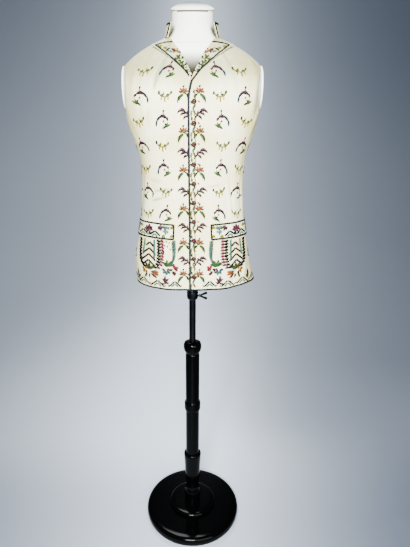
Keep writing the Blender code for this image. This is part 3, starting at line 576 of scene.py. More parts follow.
SILK = {"threads": 1700.0, "roughness": 0.58, "sheen": 0.10, "strength": 0.35}
LINEN = {"threads": 1200.0, "roughness": 0.78, "sheen": 0.05, "strength": 0.55}
JERSEY = {"size": 5.0, "grain": 1900.0, "roughness": (0.72, 0.88)}
LACQUER = {"size": 9.0, "grain": 260.0, "roughness": (0.08, 0.15), "coat": 0.03}
STEEL = {"size": 30.0, "grain": 900.0, "roughness": (0.22, 0.38), "metallic": 1.0}
silk = cloth_finish("cream silk", SILK_LIGHT, SILK_DEEP, **SILK)
linen = cloth_finish("plain linen", LINEN_LIGHT, LINEN_DEEP, **LINEN)
thread_silk = thread_finish()
# Two copies of the jersey, each with its own painted shade: dark brown low in the form's neck and by
# its collar, grey on the cap's dome.
jersey, cap_jersey = (
    solid_finish(name, JERSEY_LIGHT, JERSEY_DEEP, **JERSEY, shaded=shaded)
    for name, shaded in (("form jersey", JERSEY_PAINTED_SHADE), ("cap jersey", CAP_SHADED))
)
lacquer = solid_finish("black lacquer", LACQUER_LIGHT, LACQUER_DEEP, **LACQUER)
steel = solid_finish("dark steel", STEEL_LIGHT, STEEL_DEEP, **STEEL)
print("finishes:", [m.name for m in (silk, linen, thread_silk, jersey, lacquer, steel)])

# %% [markdown]
# ## Mesh helpers
# A length of cloth is a thin closed shell: a grid of outer points, a grid of inner ones, and a rim
# between them. Building both grids from the cut keeps the wall even over every crease.

# %% Shells


def new_object(name, mesh, material):
    """A mesh as an object of the scene, at the origin."""
    mesh.materials.append(material)
    return placed(name, mesh)


def grid_faces(rows, columns, start, flip):
    """Corner numbers of a grid's squares, numbered row by row from a start."""
    low = start + (np.arange(rows - 1)[:, None] * columns + np.arange(columns - 1)).ravel()
    corners = np.stack([low, low + 1, low + columns + 1, low + columns], axis=1)
    return corners[:, ::-1] if flip else corners


def rim_loop(rows, columns):
    """The numbers of a grid's border points, in order round it."""
    numbers = np.arange(rows * columns).reshape(rows, columns)
    parts = (numbers[0], numbers[1:, -1], numbers[-1, -2::-1], numbers[-2:0:-1, 0])
    return np.concatenate(parts)


def shell_object(name, inner, outer, flat, shade_share, flip, material):
    """A closed shell of cloth from two grids of points, with its cut and its painted shade."""
    rows, columns = inner.shape[:2]
    count = rows * columns
    loop = rim_loop(rows, columns)
    after = np.roll(loop, -1)
    rim = np.stack([loop, loop + count, after + count, after], axis=1)
    faces = np.concatenate(
        [
            grid_faces(rows, columns, count, flip),
            grid_faces(rows, columns, 0, not flip),
            rim if flip else rim[:, ::-1],
        ]
    )
    points = np.concatenate([inner.reshape(-1, 3), outer.reshape(-1, 3)])
    mesh = bpy.data.meshes.new(name)
    mesh.from_pydata(points.tolist(), [], faces.tolist())
    sharp = np.zeros(len(faces), dtype=bool)
    sharp[-len(rim):] = True
    mesh.shade_smooth()
    mesh.attributes.new("sharp_face", "BOOLEAN", "FACE").data.foreach_set("value", sharp)
    uv = mesh.uv_layers.new(name="cut")
    numbers = faces.ravel() % count
    uv.data.foreach_set("uv", flat.reshape(-1, 2)[numbers].ravel())
    wear = mesh.attributes.new("wear", "FLOAT", "POINT")
    wear.data.foreach_set("value", np.tile(shade_share.ravel(), 2))
    return new_object(name, mesh, material)

# %% Rings and turned pieces
SHARP_DEG = 48.0


def ring_object(name, rings, material):
    """A closed body from rings of points, from one closing end to the other."""
    rings = [np.asarray(ring, dtype=float) for ring in rings]
    count = len(rings[0])
    faces = []
    for row in range(len(rings) - 1):
        for column in range(count):
            after = (column + 1) % count
            low, high = row * count, (row + 1) * count
            faces.append((low + column, low + after, high + after, high + column))
    last = (len(rings) - 1) * count
    faces.append(tuple(range(count))[::-1])
    faces.append(tuple(range(last, last + count)))
    mesh = bpy.data.meshes.new(name)
    mesh.from_pydata(np.concatenate(rings).tolist(), [], faces)
    build = bmesh.new()
    build.from_mesh(mesh)
    bmesh.ops.recalc_face_normals(build, faces=build.faces)
    build.to_mesh(mesh)
    build.free()
    mesh.shade_smooth()
    mesh.set_sharp_from_angle(angle=math.radians(SHARP_DEG))
    return new_object(name, mesh, material)


CORNER_CUT, CORNER_STEPS = 0.42, 5


def rounded(profile):
    """A profile with each inner corner turned into a short soft curve."""
    rows = np.array(profile, dtype=float)
    line = [rows[0]]
    for before, here, after in zip(rows, rows[1:], rows[2:]):
        reach = CORNER_CUT * min(np.linalg.norm(here - before), np.linalg.norm(after - here))
        start = here + reach * unit(before - here)
        stop = here + reach * unit(after - here)
        for share in np.linspace(0.0, 1.0, CORNER_STEPS):
            lower = start + (here - start) * share
            upper = here + (stop - here) * share
            line.append(lower + (upper - lower) * share)
    return line + [rows[-1]]


def turned_rings(line, steps):
    """Rings of a turned piece about Z, from rows of radius and height."""
    turn = math.tau * np.arange(steps) / steps
    return [
        np.stack([r * np.cos(turn), r * np.sin(turn), np.full(steps, z)], axis=1) for r, z in line
    ]


def triangles(mesh):
    """How many triangles a mesh has."""
    return sum(len(face.vertices) - 2 for face in mesh.polygons)

# %% [markdown]
# ## The cloth pieces
# The waistcoat is cut in two fronts and two backs, with turned-back lapels, a stand collar and
# two pocket flaps. The left front laps over the right one at the buttons. Each is a grid over its
# cut, from hem to shoulder and from its own edge to its seam.

# %% The cut
WALL = 0.0017
PIECE_GAP, LAYER_GAP = 0.0003, 0.0006
HEM_Z, NECK_SIDE_Z = 0.885, 1.5530
ARMHOLE_LOW_Z, ARMHOLE_TOP_Z = 1.338, 1.490
ARMHOLE_FRONT_DEG, ARMHOLE_BACK_DEG = 20.0, 23.0
HEM_RISE_LEFT, HEM_RISE_RIGHT = 0.0100, 0.0035
HEM_RISE_DEG, HEM_RISE_TOP_Z = 30.0, 0.960
NECK_FRONT_DIP, NECK_BACK_RISE = 0.0225, 0.003
LAP_FULL_X, LAP_START_X = 0.016, 0.046
Edge = namedtuple("Edge", "height x")
OVER_EDGE = rows_of(
    Edge,
    (0.885, -0.0099),
    (1.052, -0.0099),
    (1.224, -0.0116),
    (1.385, -0.0126),
    (1.415, -0.0085),
    (1.430, -0.0043),
    (1.4334, -0.0028),
    (1.4626, 0.0105),
    (1.4952, 0.0277),
    (1.5311, 0.0513),
    (1.5450, 0.0560),
)
UNDER_EDGE = rows_of(
    Edge,
    (0.885, -0.0110),
    (1.375, -0.0110),
    (1.415, -0.0060),
    (1.4334, 0.0015),
    (1.4626, 0.0115),
    (1.4952, 0.0280),
    (1.5311, 0.0513),
    (1.5450, 0.0560),
)
EDGE_PASSES = 4


def neck_line(angle):
    """Height of the neck seam at an angle."""
    ahead = np.cos(np.radians(angle))
    dip = NECK_FRONT_DIP * np.maximum(ahead, 0.0)
    return NECK_SIDE_Z - dip + NECK_BACK_RISE * np.maximum(-ahead, 0.0)


def hem_rise(angle):
    """How much higher the hem hangs at an angle: it lifts at the side seams."""
    rise = np.where(np.asarray(angle) > 0.0, HEM_RISE_LEFT, HEM_RISE_RIGHT)
    return rise * np.exp(-(((np.abs(angle) - SIDE_DEG) / HEM_RISE_DEG) ** 2))


def row_height(angle, level):
    """Height of a panel's row at an angle: the end rows bend to meet the neck seam and hem."""
    neck = smooth_step((level - ARMHOLE_TOP_Z) / (NECK_SIDE_Z - ARMHOLE_TOP_Z))
    hem = smooth_step((HEM_RISE_TOP_Z - level) / (HEM_RISE_TOP_Z - HEM_Z))
    return level + neck * (neck_line(angle) - NECK_SIDE_Z) + hem * hem_rise(angle)


def armhole_share(level):
    """0 at the ends of the armhole and 1 at its middle height."""
    share = np.clip((level - ARMHOLE_LOW_Z) / (ARMHOLE_TOP_Z - ARMHOLE_LOW_Z), 0.0, 1.0)
    return 2.0 * np.sqrt(share * (1.0 - share))


def lap_lift(angle, height):
    """How far the over front stands out where it covers the under front."""
    x = cloth_base(angle, height)[..., 0]
    share = smooth_step((LAP_START_X - x) / (LAP_START_X - LAP_FULL_X))
    return share * (WALL + LAYER_GAP)


def edge_angle(side, edge, level):
    """The angles of a front's own edge on its rows."""
    angle = np.zeros(np.shape(level))
    for _ in range(EDGE_PASSES):
        height = row_height(angle, level)
        angle = angle_at_x(side * rows_at(edge, height)[0], height)
    return angle


def seam_turn(reach):
    """Half the gap of a seam, as degrees round the body."""
    return np.degrees(PIECE_GAP / 2.0 / reach)

# %% Panels as grids
SKIRT_ROWS, ARMHOLE_ROWS, SHOULDER_ROWS = 120, 44, 18
FRONT_COLUMNS, BACK_COLUMNS = 84, 66


def panel_levels():
    """Heights of every panel's rows, closer together at the ends of the armhole."""
    turn = (1.0 - np.cos(np.linspace(0.0, math.pi, ARMHOLE_ROWS + 1))) / 2.0
    skirt = np.linspace(HEM_Z, ARMHOLE_LOW_Z, SKIRT_ROWS + 1)[:-1]
    armhole = ARMHOLE_LOW_Z + (ARMHOLE_TOP_Z - ARMHOLE_LOW_Z) * turn
    shoulder = np.linspace(ARMHOLE_TOP_Z, NECK_SIDE_Z, SHOULDER_ROWS + 1)[1:]
    return np.concatenate([skirt, armhole, shoulder])


def front_surface(covers):
    """A front's surface: points from angles, heights and a distance out from its inside."""

    def point(angle, height, out):
        lift = lap_lift(angle, height) if covers else 0.0
        return cloth_point(angle, height, out + lift)

    return point


def laid_flat(points):
    """Flat coordinates of a grid's cut, in metres, from its own steps across and up."""
    across = np.linalg.norm(np.diff(points, axis=1), axis=-1)
    up = np.linalg.norm(np.diff(points, axis=0), axis=-1)
    u = np.concatenate([np.zeros((len(points), 1)), np.cumsum(across, axis=1)], axis=1)
    v = np.concatenate([np.zeros((1, points.shape[1])), np.cumsum(up, axis=0)], axis=0)
    return np.stack([u, v], axis=-1)


# Painted shade on the cloth: greyer where the light falls off at the sides and over the shoulders,
# and in crease troughs.
CLOTH_SHADE_SHOULDER_Z, CLOTH_SHADE_NECK_Z, CLOTH_SHADE_SHOULDER = 1.395, 1.475, 0.80
CLOTH_SHADE_FRONT_DEG, CLOTH_SHADE_SIDE_DEG, CLOTH_SHADE_SIDE = 54.0, 90.0, 0.90
CLOTH_SHADE_DIP, CLOTH_SHADE_TROUGH = 0.0006, 1.00


def place_turn(points):
    """The figure's own angle at points, in degrees."""
    lean = rows_at(FIGURE, points[..., 2])[4]
    return np.degrees(np.arctan2(points[..., 0], lean - points[..., 1]))


def cloth_painted_shade(points):
    """Painted shade on the cloth: most at the sides and over the shoulders, where the light falls
    off, and in the creases' troughs.
    """
    turn = np.degrees(np.abs(np.arctan2(points[..., 0], -points[..., 1])))
    side = smooth_step((turn - CLOTH_SHADE_FRONT_DEG) / (CLOTH_SHADE_SIDE_DEG - CLOTH_SHADE_FRONT_DEG))
    rise = (points[..., 2] - CLOTH_SHADE_SHOULDER_Z) / (CLOTH_SHADE_NECK_Z - CLOTH_SHADE_SHOULDER_Z)
    dip = np.clip(-fold_push(place_turn(points), points[..., 2]) / CLOTH_SHADE_DIP, 0.0, 1.0)
    broad = np.maximum(CLOTH_SHADE_SIDE * side, CLOTH_SHADE_SHOULDER * smooth_step(rise))
    return np.clip(broad + CLOTH_SHADE_TROUGH * dip, 0.0, 1.0)


def shell_on(name, surface, first, second, wall, flip, material):
    """A shell over a grid of a surface's two measures."""
    none = np.zeros(first.shape)
    inner, outer = surface(first, second, none), surface(first, second, none + wall)
    return shell_object(name, inner, outer, laid_flat(outer), cloth_painted_shade(outer), flip, material)


def front_grid(side, edge):
    """Angles and heights over a front's cut."""
    level = panel_levels()
    start = edge_angle(side, edge, level)
    seam = seam_turn(rows_at(FIGURE, level)[0])
    stop = side * (SIDE_DEG - seam - ARMHOLE_FRONT_DEG * armhole_share(level))
    share = np.linspace(0.0, 1.0, FRONT_COLUMNS + 1)
    angle = start[:, None] + (stop - start)[:, None] * share
    return angle, row_height(angle, level[:, None])


def back_grid(side):
    """Angles and heights over a back's cut."""
    level = panel_levels()
    half_width, _, back = rows_at(FIGURE, level)[:3]
    start = SIDE_DEG + seam_turn(half_width) + ARMHOLE_BACK_DEG * armhole_share(level)
    stop = BACK_DEG - seam_turn(back)
    share = np.linspace(0.0, 1.0, BACK_COLUMNS + 1)
    angle = side * (start[:, None] + (stop - start)[:, None] * share)
    return angle, row_height(angle, level[:, None])

# %% The two fronts and the two backs
OVER, UNDER = front_surface(True), front_surface(False)
RIGHT, LEFT = -1.0, 1.0
front_left_grid, front_right_grid = front_grid(LEFT, OVER_EDGE), front_grid(RIGHT, UNDER_EDGE)
back_left_grid, back_right_grid = back_grid(LEFT), back_grid(RIGHT)
front_left = shell_on("cloth_front_left", OVER, *front_left_grid, WALL, False, silk)
front_right = shell_on("cloth_front_right", UNDER, *front_right_grid, WALL, True, silk)
back_left = shell_on("cloth_back_left", UNDER, *back_left_grid, WALL, False, linen)
back_right = shell_on("cloth_back_right", UNDER, *back_right_grid, WALL, True, linen)
for panel in (front_left, front_right, back_left, back_right):
    print(panel.name, triangles(panel.data), "triangles")

# %% [markdown]
# ## Lapels, collar and flaps
# Each lies on a front by its own two measures: a lapel by its share across from the roll line and
# its share up, the collar by the angle and its share up, a flap by its share along and its drop.

# %% Lapels
Lapel = namedtuple("Lapel", "share roll_x roll_z edge_x edge_z")
LAPEL = rows_of(
    Lapel,
    (0.00, -0.0035, 1.4334, -0.0025, 1.4286),
    (0.33, 0.0100, 1.4626, 0.0275, 1.4621),
    (0.66, 0.0272, 1.4952, 0.0623, 1.4897),
    (1.00, 0.0509, 1.5311, 0.1004, 1.5144),
)
LAPEL_WALL = 0.0016
LAPEL_TIP_LIFT, LAPEL_MID_LIFT, LAPEL_TOP_BULGE = 0.0075, 0.0022, 0.0035
LAPEL_UNDER_START = 0.13
LAPEL_ROWS, LAPEL_COLUMNS = 60, 30


def lapel_surface(side, covers):
    """A lapel's surface from its shares across and up."""

    def point(across, share, out):
        roll_x, roll_z, edge_x, edge_z = rows_at(LAPEL, share)
        x = roll_x + (edge_x - roll_x) * across
        height = roll_z + (edge_z - roll_z) * across
        bulge = np.sin(math.pi * across) * smooth_step(share * 2.0 - 1.0)
        height = height + LAPEL_TOP_BULGE * bulge
        angle = angle_at_x(side * x, height)
        lift = WALL + LAYER_GAP + LAPEL_MID_LIFT * np.sin(math.pi * across / 2.0) * share
        lift = lift + LAPEL_TIP_LIFT * across**2 * share**3
        if covers:
            lift = lift + lap_lift(angle, height)
        return cloth_point(angle, height, out + lift)

    return point


def share_grid(rows, columns, first=0.0):
    """Two measures from 0 to 1 over a grid, the second from a first share."""
    up, across = np.meshgrid(
        np.linspace(first, 1.0, rows + 1), np.linspace(0.0, 1.0, columns + 1), indexing="ij"
    )
    return across, up


LAPEL_LEFT, LAPEL_RIGHT = lapel_surface(LEFT, True), lapel_surface(RIGHT, False)
over_lapel_grid = share_grid(LAPEL_ROWS, LAPEL_COLUMNS)
under_lapel_grid = share_grid(LAPEL_ROWS, LAPEL_COLUMNS, LAPEL_UNDER_START)
lapel_left = shell_on(
    "cloth_lapel_left", LAPEL_LEFT, *over_lapel_grid, LAPEL_WALL, False, silk
)
lapel_right = shell_on(
    "cloth_lapel_right", LAPEL_RIGHT, *under_lapel_grid, LAPEL_WALL, True, silk
)
print("lapels:", triangles(lapel_left.data), triangles(lapel_right.data), "triangles")

# %% The stand collar
COLLAR_WALL, COLLAR_END_DEG = 0.0020, 53.0
COLLAR_FOOT_RISE, COLLAR_TOP_Z, COLLAR_END_DROP = 0.0019, 1.5825, 0.0080
COLLAR_SIDE_ROOM, COLLAR_BACK_ROOM = 0.0115, 0.0075
COLLAR_ROWS, COLLAR_COLUMNS = 24, 150


def collar_wall_point(angle, share):
    """The collar's inside, from its foot at the neck seam to its top edge."""
    foot = cloth_point(angle, neck_line(angle), np.full(np.shape(angle), WALL / 2.0))
    foot[..., 2] += COLLAR_FOOT_RISE
    ahead = np.cos(np.radians(angle))
    top_z = COLLAR_TOP_Z - COLLAR_END_DROP * np.maximum(ahead, 0.0)
    half_width, front, back, power, lean = rows_at(FIGURE, top_z)
    across = np.sin(np.radians(angle))
    room = np.where(ahead > 0.0, front + COLLAR_SIDE_ROOM, back + COLLAR_BACK_ROOM)
    total = (np.abs(across) / (half_width + COLLAR_SIDE_ROOM)) ** power
    total = total + (np.abs(ahead) / room) ** power
    reach = total ** (-1.0 / power)
    top = np.stack([reach * across, lean - reach * ahead, top_z], axis=-1)
    return foot + (top - foot) * np.asarray(share)[..., None]


def collar_surface(angle, share, out):
    """The collar's surface, moved out along its own wall's direction."""
    turn = collar_wall_point(angle + NORMAL_TURN_DEG, share)
    turn = turn - collar_wall_point(angle - NORMAL_TURN_DEG, share)
    ones, zeros = np.ones(np.shape(share)), np.zeros(np.shape(share))
    up = collar_wall_point(angle, ones) - collar_wall_point(angle, zeros)
    out = np.asarray(out, dtype=float)[..., None]
    return collar_wall_point(angle, share) + unit(np.cross(turn, up)) * out


collar_share, collar_up = share_grid(COLLAR_ROWS, COLLAR_COLUMNS)
collar_angle = COLLAR_END_DEG + 2.0 * (BACK_DEG - COLLAR_END_DEG) * collar_share
collar = shell_on(
    "cloth_collar", collar_surface, collar_angle, collar_up, COLLAR_WALL, False, silk
)
print("collar:", triangles(collar.data), "triangles")

# %% Pocket flaps
FLAP_WALL, FLAP_HEIGHT = 0.0018, 0.0415
FLAP_FRONT_X, FLAP_SIDE_DEG = 0.0490, 83.0
FLAP_FRONT_TOP_Z, FLAP_SIDE_TOP_Z = 1.0686, 1.0745
FLAP_ROWS, FLAP_COLUMNS = 26, 80
FLAP_FIRST_DEG = float(angle_at_x(FLAP_FRONT_X, FLAP_FRONT_TOP_Z))


def flap_surface(side):
    """A flap's surface from its share along, front to side, and its drop in metres."""

    def point(share, drop, out):
        angle = side * (FLAP_FIRST_DEG + (FLAP_SIDE_DEG - FLAP_FIRST_DEG) * share)
        height = FLAP_FRONT_TOP_Z + (FLAP_SIDE_TOP_Z - FLAP_FRONT_TOP_Z) * share - drop
        lift = WALL + LAYER_GAP + LAYER_GAP * drop / FLAP_HEIGHT
        return cloth_point(angle, height, out + lift)

    return point


FLAP_LEFT, FLAP_RIGHT = flap_surface(LEFT), flap_surface(RIGHT)
flap_share, flap_up = share_grid(FLAP_ROWS, FLAP_COLUMNS)
flap_drop = FLAP_HEIGHT * (1.0 - flap_up)
flap_left = shell_on("cloth_flap_left", FLAP_LEFT, flap_share, flap_drop, FLAP_WALL, False, silk)
flap_right = shell_on("cloth_flap_right", FLAP_RIGHT, flap_share, flap_drop, FLAP_WALL, True, silk)
print("flaps:", triangles(flap_left.data), triangles(flap_right.data), "triangles")

# %% [markdown]
# ## The dress form
# A hard foam torso in stretched jersey, smooth and whole, with cut arms and a domed neck. Rings of
# points up the figure make it; its underside has a bore that the stand's tube slides in.

# %% The torso, its neck cap and arm plates
FORM_LOW_Z, NECK_TOP_Z = 0.905, 1.6122
NECK_TILT_DEG, NECK_TILT_Z = 15.0, 1.560
ARM_CUT_X = 0.1830
FORM_BORE_RADIUS, FORM_BORE_TOP_Z = 0.0118, 1.290
FORM_RINGS, FORM_STEPS = 120, 112
CAP_RADIUS, CAP_RIM, CAP_RISE = 0.0568, 0.0030, 0.0205
CAP_DOME_STEPS, CAP_DOME_POWER, CAP_DOME_START, CAP_FOOT_TAPER = 18, 0.85, 0.06, 0.25
PLATE_HALF_DEPTH, PLATE_HALF_HEIGHT = 0.0490, 0.0560
PLATE_Z, PLATE_Y, PLATE_THICK, PLATE_ROUND = 1.4300, 0.0060, 0.0050, 0.0020
PLATE_CORNER_STEPS = 6
NECK_SEAM_Z, NECK_SEAM_HALF, NECK_SEAM_SHADE = 1.5280, 0.0020, 0.30
LIP_SHADE_DROP, LIP_SHADE, LIP_ROOM = 0.0040, 0.94, 0.0005


def form_ring(height):
    """One ring of the form, flat where the arms are cut and tilted up the neck."""
    share = smooth_step((height - NECK_TILT_Z) / (NECK_TOP_Z - NECK_TILT_Z))
    angle = 360.0 * np.arange(FORM_STEPS) / FORM_STEPS
    ring = figure_point(angle, np.full(FORM_STEPS, height))
    ring[:, 0] = np.clip(ring[:, 0], -ARM_CUT_X, ARM_CUT_X)
    middle = rows_at(FIGURE, height)[4]
    ring[:, 2] += share * math.tan(math.radians(NECK_TILT_DEG)) * (ring[:, 1] - middle)
    return ring


def bore_ring(height):
    """One ring of the bore, in step with the form's own rings."""
    turn = math.tau * np.arange(FORM_STEPS) / FORM_STEPS
    x, y = FORM_BORE_RADIUS * np.sin(turn), -FORM_BORE_RADIUS * np.cos(turn)
    return np.stack([x, y, np.full(FORM_STEPS, height)], axis=1)


def build_torso():
    """The torso, from its bore's end down, out over the underside and up to the neck."""
    rings = [bore_ring(FORM_BORE_TOP_Z), bore_ring(FORM_LOW_Z)]
    levels = np.linspace(FORM_LOW_Z, NECK_TOP_Z - LIP_SHADE_DROP - LIP_ROOM, FORM_RINGS)
    seam = NECK_SEAM_Z + NECK_SEAM_HALF * np.array([-1.0, 0.0, 1.0])
    levels = [*levels, *seam, NECK_TOP_Z - LIP_SHADE_DROP, NECK_TOP_Z]
    rings += [form_ring(height) for height in sorted(levels)]
    return ring_object("form_torso", rings, jersey)


def build_neck_cap():
    """A shallow dome on the tilted top of the neck, with a rounded rim."""
    dome = CAP_RISE - CAP_RIM
    share = np.sin(np.linspace(CAP_DOME_START, math.pi / 2.0, CAP_DOME_STEPS))
    line = [(CAP_RADIUS * s, CAP_RIM + dome * (1.0 - s * s) ** CAP_DOME_POWER) for s in share]
    line.append((CAP_RADIUS - CAP_RIM * CAP_FOOT_TAPER, 0.0))
    tilt = math.radians(NECK_TILT_DEG)
    up = np.array([0.0, -math.sin(tilt), math.cos(tilt)])
    ahead = np.array([0.0, math.cos(tilt), math.sin(tilt)])
    centre = np.array([0.0, float(rows_at(FIGURE, NECK_TOP_Z)[4]), NECK_TOP_Z]) + PIECE_GAP * up
    rings = []
    for ring in turned_rings(line, FORM_STEPS):
        placed = ring[:, :1] * np.array([1.0, 0.0, 0.0]) + ring[:, 1:2] * ahead
        rings.append(centre + placed + ring[:, 2:] * up)
    return ring_object("form_neck_cap", rings, cap_jersey)


def build_arm_plate(side, name):
    """An oval plate with a rounded edge on the form's flat arm."""
    turn = math.tau * np.arange(FORM_STEPS) / FORM_STEPS
    rings = []
    corner = [(0.0, 0.0)] + [
        (PLATE_THICK - PLATE_ROUND * (1.0 - math.sin(a)), PLATE_ROUND * (1.0 - math.cos(a)))
        for a in np.linspace(0.0, math.pi / 2.0, PLATE_CORNER_STEPS)
    ]
    for thick, inset in corner:
        x = np.full(FORM_STEPS, side * (ARM_CUT_X + PIECE_GAP + thick))
        y = PLATE_Y + (PLATE_HALF_DEPTH - inset) * np.cos(turn)
        z = PLATE_Z + (PLATE_HALF_HEIGHT - inset) * np.sin(turn)
        rings.append(np.stack([x, y, z], axis=1))
    return ring_object(name, rings, jersey)

# %% Painted shade on the jersey
SHELTER_LOW_Z, SHELTER_REACH = 1.447, 0.058
SHELTER_HALF_WIDTH, SHELTER_FADE, ARMHOLE_LIGHT = 0.085, 0.040, 0.80
COLLAR_SHADE_DEG, COLLAR_SHADE_REACH_DEG, COLLAR_SHADE = 46.0, 16.0, 0.92
COLLAR_SHADE_LOW_Z, COLLAR_SHADE_TOP_Z = 1.505, 1.566
SHADE_EDGE, LIP_MARGIN = 0.012, 1e-4
CAP_SHADE_Z, CAP_SHADE_REACH = 1.6170, 0.0120


def tilted_height(points):
    """Height above the tilted plane that the neck is cut to, brought to the neck's middle."""
    middle = float(rows_at(FIGURE, NECK_TOP_Z)[4])
    return points[:, 2] - math.tan(math.radians(NECK_TILT_DEG)) * (points[:, 1] - middle)


def neck_shade(points):
    """Painted shade on the jersey: low in the neck, by the collar, at the seam and under the cap's
    lip.
    """
    height = points[:, 2]
    low = 1.0 - np.clip((height - SHELTER_LOW_Z) / SHELTER_REACH, 0.0, 1.0) ** 3
    out = smooth_step((np.abs(points[:, 0]) - SHELTER_HALF_WIDTH) / SHELTER_FADE)
    low = low * (1.0 - ARMHOLE_LIGHT * out)
    beside = smooth_step((np.abs(place_turn(points)) - COLLAR_SHADE_DEG) / COLLAR_SHADE_REACH_DEG)
    within = smooth_step((height - COLLAR_SHADE_LOW_Z) / SHADE_EDGE)
    within = within * (1.0 - smooth_step((height - COLLAR_SHADE_TOP_Z) / SHADE_EDGE))
    beside = COLLAR_SHADE * beside * within
    seam = NECK_SEAM_SHADE * (np.abs(height - NECK_SEAM_Z) < NECK_SEAM_HALF / 2.0)
    lip = LIP_SHADE * (tilted_height(points) > NECK_TOP_Z - LIP_SHADE_DROP - LIP_MARGIN)
    return np.max([low, beside, seam, lip], axis=0)


def cap_shade(points):
    """Painted shade on the cap: the dome is darkened above its rim, where it turns away from the
    lamps.
    """
    return smooth_step((tilted_height(points) - CAP_SHADE_Z) / CAP_SHADE_REACH)


def add_shade(piece, shade):
    """Store a piece's painted shade, which its finish multiplies into its colour."""
    points = np.zeros(len(piece.data.vertices) * 3)
    piece.data.vertices.foreach_get("co", points)
    wear = piece.data.attributes.new("wear", "FLOAT", "POINT")
    wear.data.foreach_set("value", shade(points.reshape(-1, 3)))


torso, neck_cap = build_torso(), build_neck_cap()
add_shade(torso, neck_shade)
add_shade(neck_cap, cap_shade)
arm_plate_left = build_arm_plate(LEFT, "form_arm_plate_left")
arm_plate_right = build_arm_plate(RIGHT, "form_arm_plate_right")
print("form:", triangles(torso.data), "triangles")

# %% [markdown]
# ## The stand
# The base, disc, foot, column and cap were turned on a lathe and lacquered black. Each profile is
# a short table of radius and height, softened at its corners and spun about Z. The cap and the
# small metal parts are the solids themselves, copied, merged and given a fine bevel.

# %% The turned pieces
Turn = namedtuple("Turn", "radius height")
BASE_PROFILE = rows_of(
    Turn,
    (0.0010, 0.0340),
    (0.1440, 0.0340),
    (0.1560, 0.0325),
    (0.1630, 0.0270),
    (0.1650, 0.0190),
    (0.1640, 0.0090),
    (0.1600, 0.0025),
    (0.1550, 0.0),
)
DISC_PROFILE = rows_of(
    Turn,
    (0.0010, 0.0500),
    (0.0660, 0.0500),
    (0.0750, 0.0485),
    (0.0800, 0.0440),
    (0.0810, 0.0385),
    (0.0795, 0.0343),
)
FOOT_PROFILE = rows_of(
    Turn,
    (0.0010, 0.2470),
    (0.0262, 0.2470),
    (0.0296, 0.2435),
    (0.0300, 0.2370),
    (0.0290, 0.2250),
    (0.0272, 0.1950),
    (0.0266, 0.1700),
    (0.0262, 0.1480),
    (0.0240, 0.1360),
    (0.0218, 0.1260),
    (0.0218, 0.1080),
    (0.0238, 0.0980),
    (0.0285, 0.0880),
    (0.0293, 0.0780),
    (0.0270, 0.0680),
    (0.0270, 0.0503),
)
COLUMN_PROFILE = rows_of(
    Turn,
    (0.0010, 0.6317),
    (0.0230, 0.6317),
    (0.0230, 0.4520),
    (0.0258, 0.4500),
    (0.0272, 0.4450),
    (0.0272, 0.4240),
    (0.0258, 0.4190),
    (0.0230, 0.4170),
    (0.0230, 0.2473),
)
TUBE_RADIUS, TUBE_TOP_Z, TUBE_LOW_Z = 0.0110, 1.150, 0.6320
STAND_STEPS = 96


def build_turned(name, profile, material):
    """A solid turned piece with softened corners."""
    return ring_object(name, turned_rings(rounded(profile), STAND_STEPS), material)


base = build_turned("turned_base", BASE_PROFILE, lacquer)
base_disc = build_turned("turned_base_disc", DISC_PROFILE, lacquer)
column_foot = build_turned("turned_column_foot", FOOT_PROFILE, lacquer)
column = build_turned("turned_column", COLUMN_PROFILE, lacquer)
tube_line = ((TUBE_RADIUS, TUBE_TOP_Z), (TUBE_RADIUS, TUBE_LOW_Z))
tube = ring_object("turned_tube", turned_rings(tube_line, STAND_STEPS), steel)
for piece in (base, base_disc, column_foot, column, tube):
    print(piece.name, triangles(piece.data), "triangles")

# %% The small hard parts, from their solids
BEVEL_WIDTH, BEVEL_STEPS = 0.00035, 2
MERGE, LEVEL_TURN = 0.00002, 0.002


def refined(node, name, material, width=BEVEL_WIDTH):
    """A merged, bevelled copy of a solid."""
    mesh = frame["nodes"][node].data.copy()
    mesh.name = name
    mesh.materials.clear()
    build = bmesh.new()
    build.from_mesh(mesh)
    bmesh.ops.remove_doubles(build, verts=build.verts, dist=MERGE)
    paired = [edge for edge in build.edges if len(edge.link_faces) == 2]
    level = [edge for edge in paired if edge.calc_face_angle() < LEVEL_TURN]
    bmesh.ops.dissolve_edges(build, edges=level, use_verts=False)
    build.to_mesh(mesh)
    build.free()
    mesh.shade_smooth()
    mesh.set_sharp_from_angle(angle=math.radians(SHARP_DEG))
    made = new_object(name, mesh, material)
    soften = made.modifiers.new("soften", "BEVEL")
    soften.width = width
    soften.segments = BEVEL_STEPS
    soften.limit_method = "ANGLE"
    soften.angle_limit = math.radians(SHARP_DEG)
    return made


column_cap = refined("column_cap", "turned_column_cap", lacquer)
clamp_collar = refined("clamp_collar", "bored_clamp_collar", steel, BEVEL_WIDTH / 2.0)
socket = refined("socket", "form_socket", steel)
wing_screw = refined("wing_screw", "bent_wing_screw", steel, BEVEL_WIDTH / 2.0)
print("small parts:", [o.name for o in (column_cap, clamp_collar, socket, wing_screw)])

# %% [markdown]
# ## How the embroidery is made
# Satin stitch is silk thread laid side by side across a shape, so a leaf is a spine with a width
# at each place along it. The spines are plain edges that lie on the cloth and carry a half width,
# an outward direction and a dye. One Geometry Nodes tree walks along every spine and lays a thread
# across it at each step. The same tree, with other values, makes cords and running stitches.

